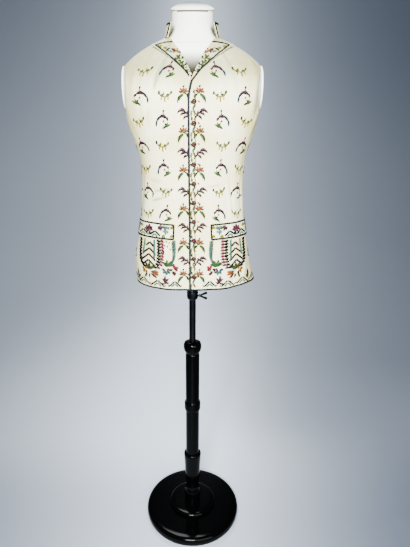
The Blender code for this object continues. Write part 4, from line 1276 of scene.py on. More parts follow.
# %% The thread-laying tree
THREAD_SIDES = 6
UNEVEN_SLANT, UNEVEN_REACH, UNEVEN_DYE = (-0.12, 0.12, 3), (0.88, 1.10, 5), (0.82, 1.14, 9)
THREAD_INPUTS = (
    ("Geometry", "NodeSocketGeometry"),
    ("Spacing", "NodeSocketFloat"),
    ("Thread Width", "NodeSocketFloat"),
    ("Loft", "NodeSocketFloat"),
    ("Slant", "NodeSocketFloat"),
    ("Material", "NodeSocketMaterial"),
)


def stored(tree, name, kind):
    """A stored attribute, read in a tree."""
    links = {"Name": name}
    node = linked(tree, "GeometryNodeInputNamedAttribute", links, data_type=kind)
    return node.outputs["Attribute"]


def uneven(tree, low, high, seed):
    """A random number for each thread, from a fixed seed."""
    links = {2: low, 3: high, "Seed": seed}
    return linked(tree, "FunctionNodeRandomValue", links, data_type="FLOAT").outputs[1]


def one_thread(tree):
    """A thread of unit size that lies along X, smooth round its side."""
    links = {"Vertices": THREAD_SIDES, "Radius": 1.0, "Depth": 2.0}
    rod = linked(tree, "GeometryNodeMeshCylinder", links, fill_type="NGON")
    links = {"Geometry": rod.outputs["Mesh"], "Rotation": (0.0, math.pi / 2.0, 0.0)}
    lying = linked(tree, "GeometryNodeTransform", links)
    links = {"Geometry": lying.outputs["Geometry"], "Selection": rod.outputs["Side"]}
    return linked(tree, "GeometryNodeSetShadeSmooth", links).outputs["Geometry"]


def thread_turn(tree, slant):
    """How each thread lies: flat on the cloth, across its spine and a little uneven."""
    links = {
        "Primary Axis": stored(tree, "outward", "FLOAT_VECTOR"),
        "Secondary Axis": tree.nodes.new("GeometryNodeInputTangent").outputs["Tangent"],
    }
    axes = {"primary_axis": "Z", "secondary_axis": "Y"}
    facing = linked(tree, "FunctionNodeAxesToRotation", links, **axes)
    lean = linked(
        tree, "ShaderNodeCombineXYZ", {"Z": maths(tree, "ADD", slant, uneven(tree, *UNEVEN_SLANT))}
    )
    lean = linked(tree, "FunctionNodeEulerToRotation", {"Euler": lean.outputs[0]})
    links = {"Rotation": facing.outputs[0], "Rotate By": lean.outputs[0]}
    return linked(tree, "FunctionNodeRotateRotation", links, rotation_space="LOCAL").outputs[0]


def thread_size(tree, given):
    """Each thread's half length, width and loft."""
    half_width = stored(tree, "half_width", "FLOAT")
    reach = maths(tree, "MULTIPLY", half_width, uneven(tree, *UNEVEN_REACH))
    links = {"X": reach, "Y": given["Thread Width"], "Z": given["Loft"]}
    return linked(tree, "ShaderNodeCombineXYZ", links).outputs[0]


def thread_dye(tree):
    """Each thread's dye, a little lighter or darker than its spine's."""
    links = {0: stored(tree, "thread_colour", "FLOAT_COLOR"), "Scale": uneven(tree, *UNEVEN_DYE)}
    return linked(tree, "ShaderNodeVectorMath", links, operation="SCALE").outputs[0]


def thread_tree():
    """Threads laid across spines, as real meshes."""
    tree = bpy.data.node_groups.new("laid threads", "GeometryNodeTree")
    tree.interface.new_socket("Geometry", in_out="OUTPUT", socket_type="NodeSocketGeometry")
    for label, kind in THREAD_INPUTS:
        tree.interface.new_socket(label, in_out="INPUT", socket_type=kind)
    given, end = tree.nodes.new("NodeGroupInput").outputs, tree.nodes.new("NodeGroupOutput")
    curve = linked(tree, "GeometryNodeMeshToCurve", {"Mesh": given["Geometry"]})
    links = {"Curve": curve.outputs["Curve"], "Length": given["Spacing"]}
    steps = linked(tree, "GeometryNodeResampleCurve", links, mode="LENGTH")
    links = {
        "Points": steps.outputs["Curve"],
        "Instance": one_thread(tree),
        "Rotation": thread_turn(tree, given["Slant"]),
        "Scale": thread_size(tree, given),
    }
    laid = linked(tree, "GeometryNodeInstanceOnPoints", links).outputs["Instances"]
    links = {"Geometry": laid, "Name": "thread_colour", "Value": thread_dye(tree)}
    kind = {"data_type": "FLOAT_COLOR", "domain": "INSTANCE"}
    dyed = linked(tree, "GeometryNodeStoreNamedAttribute", links, **kind).outputs["Geometry"]
    real = linked(tree, "GeometryNodeRealizeInstances", {"Geometry": dyed})
    links = {"Geometry": real.outputs["Geometry"], "Material": given["Material"]}
    silked = linked(tree, "GeometryNodeSetMaterial", links)
    tree.links.new(silked.outputs["Geometry"], end.inputs["Geometry"])
    return tree


THREAD_TREE = thread_tree()
print("thread tree:", len(THREAD_TREE.nodes), "nodes")

# %% Guides, and sewing along them
SPARE_ATTRIBUTES = ("outward", "half_width")
Stitch = namedtuple("Stitch", "spacing width loft slant")
SATIN = Stitch(0.00078, 0.00054, 0.00042, 0.35)
CORD = Stitch(0.00105, 0.00078, 0.00080, 0.62)
RUNNING = Stitch(0.00420, 0.00024, 0.00022, math.pi / 2.0)


class Guides:
    """Spines that lie on a surface, waiting for their threads."""

    def __init__(self):
        self.points, self.outward, self.widths, self.dyes, self.edges = [], [], [], [], []
        self.count = 0

    def add(self, points, outward, widths, dyes):
        """Take in one or more spines of equal length."""
        spines, steps = points.shape[:2]
        first = self.count + np.arange(spines)[:, None] * steps + np.arange(steps - 1)
        self.edges.append(np.stack([first.ravel(), first.ravel() + 1], axis=1))
        self.points.append(points.reshape(-1, 3))
        self.outward.append(outward.reshape(-1, 3))
        self.widths.append(widths.reshape(-1))
        self.dyes.append(dyes.reshape(-1, 3))
        self.count += spines * steps


def set_inputs(modifier, values):
    """Set a modifier's named inputs by their sockets' identifiers."""
    for item in THREAD_TREE.interface.items_tree:
        if item.item_type == "SOCKET" and item.in_out == "INPUT" and item.name in values:
            modifier[item.identifier] = values[item.name]


def guide_mesh(name, guides):
    """The spines as bare edges that carry their outward direction, half width and dye."""
    mesh = bpy.data.meshes.new(name)
    edges = np.concatenate(guides.edges).tolist()
    mesh.from_pydata(np.concatenate(guides.points).tolist(), edges, [])
    dyes = np.concatenate(guides.dyes)
    dyes = np.concatenate([dyes, np.ones((len(dyes), 1))], axis=1)
    for label, kind, part, values in (
        ("outward", "FLOAT_VECTOR", "vector", np.concatenate(guides.outward)),
        ("half_width", "FLOAT", "value", np.concatenate(guides.widths)),
        ("thread_colour", "FLOAT_COLOR", "color", dyes),
    ):
        mesh.attributes.new(label, kind, "POINT").data.foreach_set(part, values.ravel())
    return mesh


def sew(name, guides, stitch):
    """Lay the threads of some guides and keep them as one plain mesh."""
    rig = placed(name + " guides", guide_mesh(name + " guides", guides))
    modifier = rig.modifiers.new("threads", "NODES")
    modifier.node_group = THREAD_TREE
    sizes = {"Spacing": stitch.spacing, "Thread Width": stitch.width, "Loft": stitch.loft}
    set_inputs(modifier, {**sizes, "Slant": stitch.slant, "Material": thread_silk})
    bpy.context.view_layer.update()
    seen = rig.evaluated_get(bpy.context.evaluated_depsgraph_get())
    laid = bpy.data.meshes.new_from_object(seen)
    laid.name = name
    bpy.data.objects.remove(rig, do_unlink=True)
    for spare in SPARE_ATTRIBUTES:
        if spare in laid.attributes:
            laid.attributes.remove(laid.attributes[spare])
    print(name, "has", triangles(laid), "triangles")
    return placed(name, laid)

# %% [markdown]
# ## Dyes and strokes
# A motif is charted as a short table of strokes, in millimetres from its own middle, with
# "across" running away from the centre front. A stroke is a leaf, petal, bud or stem: where it
# starts, the way it heads (0 is up, 90 is across), its length, half width and sideways bow, and
# its dyes at the base and tip, because shaded silk runs from one into the other.

# %% Dyes
DYE_CHANNELS = {
    "plum": (32, 14, 24),
    "crimson": (66, 10, 26),
    "magenta": (86, 17, 48),
    "pink": (108, 31, 43),
    "lilac": (82, 56, 66),
    "mauve": (50, 32, 41),
    "coral": (112, 40, 31),
    "peach": (124, 72, 30),
    "gold": (120, 86, 12),
    "rust": (72, 34, 22),
    "russet": (44, 23, 11),
    "lemon": (118, 112, 22),
    "lime": (62, 76, 20),
    "olive": (42, 43, 16),
    "green": (28, 56, 24),
    "leaf": (46, 76, 28),
    "forest": (13, 31, 15),
    "teal": (34, 62, 54),
    "sea": (48, 86, 74),
    "sky": (80, 118, 136),
    "blue": (36, 56, 72),
    "slate": (23, 30, 37),
    "edge": (8, 15, 17),
    "ink": (18, 23, 29),
    "black": (6, 5, 9),
    "cream": (232, 220, 176),
}
DYES = {name: colour(*channels) for name, channels in DYE_CHANNELS.items()}
print("dyes:", len(DYES))

# %% Stroke outlines, and laying a motif
Stroke = namedtuple("Stroke", "shape across up heading length half_width bow base tip")
SPINE_STEPS = 9
SHARE = np.linspace(0.0, 1.0, SPINE_STEPS)
OUTLINES = {
    "leaf": np.sin(math.pi * SHARE**0.85) ** 0.8,
    "petal": np.sin(math.pi * SHARE**1.5) ** 0.7,
    "bud": np.sqrt(np.clip(1.0 - (2.0 * SHARE - 1.0) ** 2, 0.05, 1.0)),
    "stem": np.ones(SPINE_STEPS),
}
Spot = namedtuple("Spot", "surface first second out side turn", defaults=(1.0, 0.0))
SILK_FULLNESS, FLAT_STEP = 1.15, 1e-3


def flat_steps(spot):
    """How far a surface moves for a small step in each of its two measures."""
    first, second = np.full(3, spot.first), np.full(3, spot.second)
    first[1] += FLAT_STEP
    second[2] += FLAT_STEP
    middle, *moved = spot.surface(first, second, np.full(3, spot.out))
    return [np.linalg.norm(point - middle) / FLAT_STEP for point in moved]


def lay(guides, spot, strokes, size=1.0, spread=1.0):
    """Lay a motif's strokes on a surface at a spot. Side is -1 on the wearer's right.

    Spread widens the motif across the cloth, and turns it over where it is below 0.
    """
    across, up, widths, dyes = [], [], [], []
    for stroke in strokes:
        heading = math.radians(stroke.heading)
        ahead = np.array([math.sin(heading), math.cos(heading)])
        beside = np.array([math.cos(heading), -math.sin(heading)])
        bow = stroke.bow * 4.0 * SHARE * (1.0 - SHARE)
        line = np.outer(SHARE * stroke.length, ahead) + np.outer(bow, beside)
        across.append(stroke.across + line[:, 0])
        up.append(stroke.up + line[:, 1])
        widths.append((stroke.half_width + SILK_FULLNESS) * OUTLINES[stroke.shape])
        base, tip = np.array(DYES[stroke.base]), np.array(DYES[stroke.tip])
        dyes.append(base + (tip - base) * SHARE[:, None])
    across = np.array(across) * MM * size * spread
    up = np.array(up) * MM * size
    turn = math.radians(spot.turn)
    across, up = (
        across * math.cos(turn) + up * math.sin(turn),
        up * math.cos(turn) - across * math.sin(turn),
    )
    along_step, up_step = flat_steps(spot)
    first = spot.first + spot.side * across / along_step
    second = spot.second + up / up_step
    out = np.full(first.shape, spot.out)
    points = spot.surface(first, second, out)
    outward = unit(spot.surface(first, second, out + MM) - points)
    guides.add(points, outward, np.array(widths) * MM * size, np.array(dyes))


def path(guides, surface, first, second, out, half_width, dye):
    """Lay one long line of stitches along a path on a surface."""
    first, second = np.asarray(first, dtype=float), np.asarray(second, dtype=float)
    out = np.full(first.shape, out)
    points = surface(first, second, out)
    outward = unit(surface(first, second, out + MM) - points)
    widths = np.full(first.shape, half_width)
    dyes = np.broadcast_to(np.array(DYES[dye]), (*first.shape, 3))
    guides.add(points[None], outward[None], widths[None], dyes[None])


print("outlines:", *OUTLINES)

# %% [markdown]
# ## The motifs
# They are ordinary flowers, leaves and traditional border forms of their time, charted afresh for
# this cloth: a crescent spray, a fan of buds, a lily, a feather and the forms round the pockets.

# %% Field sprigs: the crescent spray and the bud fan
CRESCENT = rows_of(
    Stroke,
    ("bud", 17.4, -11.5, -10, 15.0, 1.9, 1.0, "blue", "slate"),
    ("bud", 15.2, 0.5, -46, 16.0, 2.5, 2.0, "slate", "plum"),
    ("bud", 8.8, 9.8, -96, 17.0, 3.6, 3.0, "plum", "plum"),
    ("leaf", -6.6, 9.0, -150, 10.0, 2.4, 1.4, "plum", "mauve"),
    ("bud", -0.5, -2.5, 0, 5.4, 1.6, 0.0, "magenta", "pink"),
    ("leaf", -3.0, -3.0, 200, 12.0, 1.7, 0.6, "forest", "forest"),
    ("leaf", -7.6, -11.4, 121, 13.0, 2.0, -1.2, "forest", "green"),
    ("leaf", -4.6, -15.0, -58, 17.0, 2.0, 1.0, "green", "lime"),
    ("leaf", -5.4, -14.0, -30, 14.5, 1.6, 0.8, "green", "leaf"),
    ("stem", -1.0, 13.0, 0, 8.0, 0.3, 0.4, "lilac", "mauve"),
    ("bud", -1.0, 20.5, 0, 5.6, 1.9, 0.0, "plum", "plum"),
)
BUD_FAN = rows_of(
    Stroke,
    ("stem", 0.2, -13.0, 0, 12.5, 0.9, 0.0, "lemon", "lime"),
    ("leaf", 0.4, -1.0, 56, 15.0, 1.5, 3.2, "lemon", "lime"),
    ("leaf", 0.4, -1.0, -60, 15.0, 1.5, -3.2, "lemon", "lime"),
    ("leaf", 2.6, 1.6, 6, 9.0, 0.9, 0.0, "lemon", "lemon"),
    ("bud", 13.6, 4.2, 8, 8.8, 2.2, 0.0, "olive", "forest"),
    ("bud", 6.0, -0.6, 8, 6.4, 2.7, 0.0, "forest", "olive"),
    ("bud", -5.4, -1.0, -8, 6.2, 2.7, 0.0, "olive", "forest"),
    ("bud", -14.6, 3.2, -12, 7.4, 2.1, 0.0, "lime", "olive"),
    ("leaf", -7.6, -2.6, 184, 7.0, 1.0, 0.0, "lemon", "lemon"),
    ("leaf", 8.4, -2.2, 176, 7.0, 1.0, 0.0, "lemon", "lemon"),
)
Row = namedtuple("Row", "inner_deg outer_deg")
SPRIG_TOP_Z, SPRIG_STEP_Z = 1.4550, 0.0601
SPRIG_SIZE, SPRIG_SPREAD = 1.06, 1.15
SPRIG_ROWS = rows_of(
    Row,
    (32.6, 55.0),
    (32.6, 55.5),
    (34.2, 59.0),
    (37.8, 63.0),
    (38.4, 64.4),
    (37.0, 62.2),
    (35.7, 60.5),
)
THIRD_COLUMN_DEG, THIRD_COLUMN_FIRST_ROW, THIRD_COLUMN_SIZE = 82.0, 3, 0.92
SWAY_DEG, SWAY_STEP, FAN_DROP = 3.0, 2.1, 0.002


def sprig_field(guides, surface, side):
    """Crescents and bud fans in half drop over a front."""
    for number, row in enumerate(SPRIG_ROWS):
        height = SPRIG_TOP_Z - SPRIG_STEP_Z * number
        inner, outer = (CRESCENT, BUD_FAN) if number % 2 == 0 else (BUD_FAN, CRESCENT)
        sway = SWAY_DEG * math.sin(number * SWAY_STEP + side)
        lay(guides, Spot(surface, side * row.inner_deg, height, WALL, side, sway), inner, SPRIG_SIZE)
        drop = height - FAN_DROP * (number % 2)
        spot = Spot(surface, side * row.outer_deg, drop, WALL, side, -sway)
        lay(guides, spot, outer, SPRIG_SIZE, -SPRIG_SPREAD)
        if number >= THIRD_COLUMN_FIRST_ROW:
            spot = Spot(surface, side * THIRD_COLUMN_DEG, drop, WALL, side, sway)
            lay(guides, spot, inner, THIRD_COLUMN_SIZE)

# %% The centre-front border: lilies and feathers
LILY = rows_of(
    Stroke,
    ("petal", -1.0, -0.6, -64, 12.5, 1.9, 0.6, "russet", "coral"),
    ("petal", -0.8, -0.4, -30, 14.5, 1.9, 0.4, "gold", "peach"),
    ("petal", 0.0, -0.4, 4, 13.0, 1.8, 0.0, "russet", "gold"),
    ("petal", 1.0, -0.4, 38, 14.5, 1.9, -0.4, "rust", "coral"),
    ("petal", 1.4, -1.2, 74, 12.0, 1.9, -0.6, "pink", "rust"),
    ("bud", 0.6, 12.4, 0, 5.6, 2.2, 0.0, "russet", "olive"),
    ("leaf", -5.6, -2.8, 213, 16.0, 3.0, 2.0, "forest", "green"),
    ("leaf", -0.6, -2.4, 150, 28.0, 2.6, -5.0, "green", "forest"),
    ("leaf", -1.4, -5.4, 145, 19.0, 1.3, -3.6, "lime", "leaf"),
    ("stem", -6.0, -3.0, 74, 7.0, 1.0, -1.0, "green", "leaf"),
    ("bud", -15.0, -1.4, 0, 6.0, 2.6, 0.0, "crimson", "rust"),
)
FEATHER = rows_of(
    Stroke,
    ("stem", -11.0, -10.0, 37, 20.0, 0.8, -1.0, "plum", "plum"),
    ("leaf", -0.4, 5.4, 101, 19.0, 2.3, -5.5, "plum", "mauve"),
    ("leaf", -1.6, 2.4, 112, 14.0, 2.0, -3.4, "plum", "plum"),
    ("leaf", -5.0, -2.4, 128, 12.5, 2.0, -2.6, "plum", "mauve"),
    ("leaf", -7.5, -4.0, 14, 15.0, 1.2, 1.6, "mauve", "lilac"),
    ("leaf", 1.0, 8.0, 66, 12.0, 1.1, -1.0, "mauve", "lilac"),
)
Border = namedtuple("Border", "height over_x under_x")
LILIES = rows_of(
    Border,
    (1.4025, 0.0180, 0.0225),
    (1.3080, 0.0182, 0.0230),
    (1.2105, 0.0184, 0.0238),
    (1.1090, 0.0186, 0.0244),
    (1.0160, 0.0188, 0.0250),
    (0.9290, 0.0190, 0.0254),
)
FEATHERS = rows_of(
    Border,
    (1.3500, 0.0178, 0.0172),
    (1.2540, 0.0180, 0.0176),
    (1.1535, 0.0182, 0.0180),
    (1.0580, 0.0184, 0.0184),
    (0.9665, 0.0186, 0.0188),
)
FEATHER_SIZE = 1.20


def front_border(guides, surface, side):
    """Lilies and feathers in turn beside the centre front."""
    for rows, motif, size in ((LILIES, LILY, 1.0), (FEATHERS, FEATHER, FEATHER_SIZE)):
        for row in rows:
            x = row.over_x if side == LEFT else row.under_x
            angle = float(angle_at_x(side * x, row.height))
            lay(guides, Spot(surface, angle, row.height, WALL, side), motif, size)

# %% The winding stem between the buttons
BUTTON_COUNT = 10
BUTTON_TOP_Z, BUTTON_LOW_Z, BUTTON_X = 1.3805, 0.9245, 0.0038
BUTTON_STEP_Z = (BUTTON_TOP_Z - BUTTON_LOW_Z) / (BUTTON_COUNT - 1)
STEM_HALF_WIDTH, STEM_PAST_BUTTONS, STEM_STEPS = 0.0014, 0.030, 260
STEM_ASIDE, STEM_SWING, STEM_PHASE = 0.0015, 0.0022, 0.8
STEM_LEAVES = rows_of(
    Stroke,
    ("leaf", 4.5, -6.0, 210, 17.0, 2.2, 0.8, "slate", "sea"),
    ("leaf", -5.6, -19.0, 184, 18.0, 1.9, 0.8, "lemon", "lime"),
    ("leaf", -7.0, -35.0, 172, 12.0, 2.0, -0.8, "green", "forest"),
    ("bud", -1.0, -25.0, 20, 4.6, 1.9, 0.0, "gold", "rust"),
    ("leaf", -1.0, -20.0, 150, 9.0, 1.4, -0.8, "lime", "leaf"),
    ("bud", 2.5, -31.0, 30, 4.4, 1.9, 0.0, "coral", "rust"),
    ("leaf", -8.6, 3.0, 146, 10.5, 1.2, 1.6, "plum", "plum"),
    ("bud", 9.4, 0.6, 90, 5.0, 1.8, 0.0, "rust", "plum"),
)


def winding_stem(guides):
    """A stem that winds down the over front past every button, with its small leaves."""
    low, top = BUTTON_LOW_Z - STEM_PAST_BUTTONS, BUTTON_TOP_Z + STEM_PAST_BUTTONS
    height = np.linspace(low, top, STEM_STEPS)
    phase = math.tau * (height - BUTTON_TOP_Z) / BUTTON_STEP_Z + STEM_PHASE
    angle = angle_at_x(BUTTON_X + STEM_ASIDE + STEM_SWING * np.sin(phase), height)
    path(guides, OVER, angle, height, WALL, STEM_HALF_WIDTH, "lime")
    for number in range(BUTTON_COUNT):
        height = BUTTON_TOP_Z - BUTTON_STEP_Z * number
        angle = float(angle_at_x(BUTTON_X, height))
        lay(guides, Spot(OVER, angle, height, WALL), STEM_LEAVES)


print("sprigs:", len(SPRIG_ROWS), "rows; border:", len(LILIES), "lilies a side")

# %% Round the pockets: chevrons, seed columns, ribbons and bouquets
CHEVRON = rows_of(
    Stroke,
    ("stem", 0.6, 0.6, 127, 29.0, 2.3, 0.0, "plum", "black"),
    ("stem", -0.6, 0.6, -127, 29.0, 2.3, 0.0, "plum", "black"),
)
CHEVRON_SHORT = [stroke._replace(length=17.0) for stroke in CHEVRON]
CHEVRON_COUNT, CHEVRON_TOP_Z, CHEVRON_STEP_Z, CHEVRON_DEG = 4, 1.0150, 0.0166, 54.8
SEED = (Stroke("bud", -6.6, -2.6, 74, 14.0, 3.5, 0.0, "black", "black"),)
SEED_LEAF = (Stroke("leaf", -4.4, 0.4, -108, 14.5, 3.5, 1.2, "crimson", "magenta"),)
SEED_COUNT, OUTER_SEED_SPREAD, SEED_TOP_DROP = 10, 1.25, 0.002
Line = namedtuple("Line", "height deg")
OUTER_SEEDS = (Line(0.9480, 60.6), Line(0.9600, 64.6), Line(0.9850, 67.0), Line(1.0240, 68.8))
INNER_SEEDS = (Line(0.9470, 46.6), Line(0.9580, 43.4), Line(0.9820, 42.6), Line(1.0240, 43.8))
OUTER_LINE = (Line(0.9790, 62.4), Line(0.9950, 62.6), Line(1.0240, 62.2))
INNER_LINE = (Line(0.9700, 47.8), Line(0.9950, 48.4), Line(1.0240, 49.2))
RIBBON = (Line(0.9580, 29.0), Line(0.9660, 25.4), Line(0.9860, 24.0), Line(1.0240, 25.3))
DOT = (Stroke("bud", 0.0, 0.0, 40, 4.2, 1.6, 0.0, "slate", "plum"),)
DOT_PLACES = rows_of(
    Line,
    (1.0190, 33.6),
    (1.0160, 30.0),
    (1.0080, 35.4),
    (1.0060, 32.0),
    (0.9980, 28.6),
    (0.9960, 37.0),
    (0.9880, 36.0),
)
BOUQUET = rows_of(
    Stroke,
    ("leaf", 0.0, -1.0, 54, 17.5, 3.2, -1.6, "forest", "green"),
    ("leaf", 0.0, -1.0, 11, 17.0, 3.0, -0.6, "green", "leaf"),
    ("leaf", -1.0, -1.0, -33, 18.0, 3.0, 1.0, "forest", "green"),
    ("leaf", -2.0, -1.0, -68, 17.0, 2.8, 1.8, "leaf", "forest"),
    ("petal", -13.7, -4.5, -70, 12.5, 2.9, 0.0, "crimson", "pink"),
    ("petal", -13.7, -4.8, -108, 11.5, 2.7, 0.0, "plum", "crimson"),
    ("petal", -13.0, -4.0, -24, 8.5, 2.6, 0.0, "pink", "coral"),
    ("petal", -12.5, -4.8, 116, 9.5, 2.7, 0.0, "crimson", "plum"),
    ("petal", 3.0, -10.0, 70, 10.5, 2.6, 0.0, "blue", "slate"),
    ("petal", 3.0, -10.0, 136, 9.0, 2.5, 0.0, "teal", "blue"),
    ("petal", 2.4, -10.0, 192, 10.0, 2.5, 0.0, "blue", "sea"),
    ("petal", 2.0, -10.0, 244, 10.5, 2.5, 0.0, "teal", "slate"),
    ("petal", 2.0, -9.4, 306, 8.5, 2.4, 0.0, "slate", "blue"),
    ("bud", -18.5, -19.5, 24, 8.0, 3.0, 0.0, "crimson", "plum"),
    ("bud", -13.0, -17.5, -30, 6.5, 2.6, 0.0, "plum", "crimson"),
    ("leaf", -10.0, -14.0, -66, 8.0, 1.9, 0.6, "forest", "forest"),
)
AUTUMN_SPRAY = rows_of(
    Stroke,
    ("leaf", 0.0, 0.0, 40, 19.5, 3.9, -1.2, "olive", "forest"),
    ("leaf", 0.0, 0.0, 0, 18.0, 3.7, 0.0, "forest", "olive"),
    ("leaf", -2.0, 0.0, -50, 19.0, 3.5, 1.2, "olive", "green"),
    ("petal", 10.0, -2.0, 66, 11.0, 3.1, 0.0, "gold", "russet"),
    ("petal", 10.0, -2.0, 130, 9.5, 3.1, 0.0, "russet", "gold"),
    ("petal", 9.0, -2.0, 200, 9.0, 3.0, 0.0, "crimson", "russet"),
    ("petal", 9.0, -1.0, -10, 8.0, 3.0, 0.0, "russet", "gold"),
    ("petal", -3.0, -3.0, -93, 22.0, 2.4, 0.8, "russet", "peach"),
    ("petal", -3.5, -4.0, -107, 23.0, 2.6, 0.0, "olive", "coral"),
    ("petal", -3.0, -6.0, -124, 20.0, 2.5, -0.8, "russet", "rust"),
    ("leaf", 5.0, -8.0, 152, 14.5, 2.7, -0.8, "olive", "green"),
    ("leaf", 1.0, -9.0, 196, 11.0, 2.3, 0.8, "lime", "olive"),
)
PLUM_SPRIG = rows_of(
    Stroke,
    ("leaf", 0.0, -8.0, 3, 21.0, 2.5, 0.6, "plum", "mauve"),
    ("leaf", -0.4, -6.0, -34, 14.0, 2.0, 1.6, "plum", "crimson"),
    ("leaf", 0.4, -6.0, 40, 13.0, 2.0, -1.6, "plum", "mauve"),
    ("leaf", -0.4, -8.0, -72, 9.5, 1.7, 1.2, "plum", "mauve"),
    ("leaf", 0.4, -8.0, 104, 11.0, 1.7, -1.2, "plum", "mauve"),
)
SIDE_BLADE = rows_of(
    Stroke,
    ("leaf", 0.0, -14.0, 3, 30.0, 4.6, 1.0, "slate", "plum"),
    ("leaf", -2.0, -14.0, -28, 15.0, 2.6, 1.0, "olive", "forest"),
)
HEM_PEAK = rows_of(
    Stroke,
    ("stem", 1.2, 10.4, 134, 21.0, 1.5, 0.0, "edge", "edge"),
    ("stem", -1.2, 10.4, -134, 21.0, 1.5, 0.0, "edge", "edge"),
    ("stem", 0.6, 3.2, 134, 11.0, 1.3, 0.0, "sea", "sea"),
    ("stem", -0.6, 3.2, -134, 11.0, 1.3, 0.0, "sea", "sea"),
    ("leaf", -20.5, 1.0, 150, 7.5, 1.3, 0.0, "lemon", "lime"),
    ("leaf", 20.5, 1.0, 210, 7.5, 1.3, 0.0, "lime", "lemon"),
)
PocketForm = namedtuple("PocketForm", "strokes deg height size spread")
POCKET_FORMS = rows_of(
    PocketForm,
    (BOUQUET, 31.6, 0.9515, 1.28, 1.0),
    (AUTUMN_SPRAY, 53.6, 0.9375, 1.25, 1.05),
    (PLUM_SPRIG, 33.6, 0.9110, 1.25, 1.1),
    (SIDE_BLADE, 70.0, 0.9180, 1.0, 1.2),
    (HEM_PEAK, 22.4, 0.8990, 1.0, 1.0),
    (HEM_PEAK, 43.4, 0.8975, 1.05, 1.22),
    (HEM_PEAK, 62.0, 0.9000, 1.05, 1.35),
    (HEM_PEAK, 79.0, 0.9040, 1.0, 1.6),
    (CRESCENT, 80.0, 0.9750, 0.80, 1.2),
)

# %% Laying the pocket's forms
TEAL_HALF_WIDTH, RIBBON_HALF_WIDTH, RIBBON_SWELL = 0.0040, 0.0066, (0.14, 0.62)
PATH_STEPS = 90


def line_path(guides, surface, side, line, half_width, dye):
    """A stitched line through a short table of heights and angles."""
    height = np.linspace(line[0].height, line[-1].height, PATH_STEPS)
    angle = side * rows_at(line, height)[0]
    path(guides, surface, angle, height, WALL, half_width, dye)


def seed_column(guides, surface, side, line, leaves):
    """Slanting dark seeds down a line, with leaves beside them on the inner line."""
    for height in np.linspace(line[0].height, line[-1].height - SEED_TOP_DROP, SEED_COUNT):
        angle = side * float(rows_at(line, height)[0])
        spot = Spot(surface, angle, height, WALL, side)
        lay(guides, spot, SEED, spread=1.0 if leaves else OUTER_SEED_SPREAD)
        if leaves:
            lay(guides, spot, SEED_LEAF)


def pocket_forms(guides, surface, side):
    """Everything sewn below a flap, down to the hem."""
    for number in range(CHEVRON_COUNT):
        height = CHEVRON_TOP_Z - CHEVRON_STEP_Z * number
        strokes = CHEVRON if number else CHEVRON_SHORT
        lay(guides, Spot(surface, side * CHEVRON_DEG, height, WALL, side), strokes)
    for line, leaves in ((OUTER_SEEDS, False), (INNER_SEEDS, True)):
        seed_column(guides, surface, side, line, leaves)
    for line in (OUTER_LINE, INNER_LINE):
        line_path(guides, surface, side, line, TEAL_HALF_WIDTH, "sea")
    swell = RIBBON_HALF_WIDTH * np.sin(math.pi * np.linspace(*RIBBON_SWELL, PATH_STEPS))
    line_path(guides, surface, side, RIBBON, swell, "teal")
    for form in POCKET_FORMS:
        spot = Spot(surface, side * form.deg, form.height, WALL, side)
        lay(guides, spot, form.strokes, size=form.size, spread=form.spread)


def pocket_dots(guides, surface, side):
    """Small dots scattered below the right flap."""
    for place in DOT_PLACES:
        lay(guides, Spot(surface, side * place.deg, place.height, WALL, side), DOT)


print("pocket forms:", len(POCKET_FORMS))

# %% Flap and lapel motifs
BOW_LEAVES = rows_of(
    Stroke,
    ("stem", 0.0, -9.0, 2, 18.0, 1.4, 0.4, "sea", "teal"),
    ("leaf", 0.0, 5.0, -78, 8.5, 4.1, 1.6, "sea", "teal"),
    ("leaf", 0.0, 5.0, 78, 8.5, 4.1, -1.6, "sea", "teal"),
    ("leaf", 0.0, -1.0, -118, 6.5, 3.1, 0.8, "sky", "sea"),
    ("leaf", 0.0, -1.0, 118, 6.5, 3.1, -0.8, "sky", "sea"),
)
MAGENTA_FLOWER = rows_of(
    Stroke,
    ("petal", 0.0, -2.0, -86, 9.5, 2.2, 0.8, "plum", "magenta"),
    ("petal", 0.0, -2.0, -46, 10.5, 2.2, 0.4, "plum", "plum"),
    ("petal", 0.0, -2.0, -4, 12.0, 2.3, 0.0, "plum", "magenta"),
    ("petal", 0.0, -2.0, 40, 10.5, 2.2, -0.4, "plum", "plum"),
    ("petal", 0.0, -2.0, 84, 9.5, 2.2, -0.8, "plum", "magenta"),
    ("bud", 0.0, -4.0, 0, 5.0, 1.6, 0.0, "pink", "lilac"),
    ("leaf", 0.0, -4.0, -130, 8.0, 1.9, 0.5, "slate", "slate"),
    ("leaf", 0.0, -4.0, 130, 8.0, 1.9, -0.5, "slate", "slate"),
)
LIME_SPRIG = rows_of(
    Stroke,
    ("leaf", 0.0, -4.0, 0, 9.5, 3.3, 0.0, "lemon", "lime"),
    ("leaf", 0.0, -3.0, -48, 6.5, 2.8, 0.5, "lime", "olive"),
    ("leaf", 0.0, -3.0, 48, 6.5, 2.8, -0.5, "lemon", "olive"),
)
PLUM_TWIG = rows_of(
    Stroke,
    ("stem", -7.0, 5.0, 118, 15.0, 1.1, -1.0, "plum", "mauve"),
    ("leaf", -3.0, 3.6, 50, 8.5, 3.1, 0.8, "mauve", "lilac"),
    ("leaf", 1.0, 1.2, 62, 8.0, 3.1, 0.8, "plum", "mauve"),
    ("leaf", -1.0, 2.0, 172, 7.0, 2.8, -0.6, "plum", "mauve"),
)
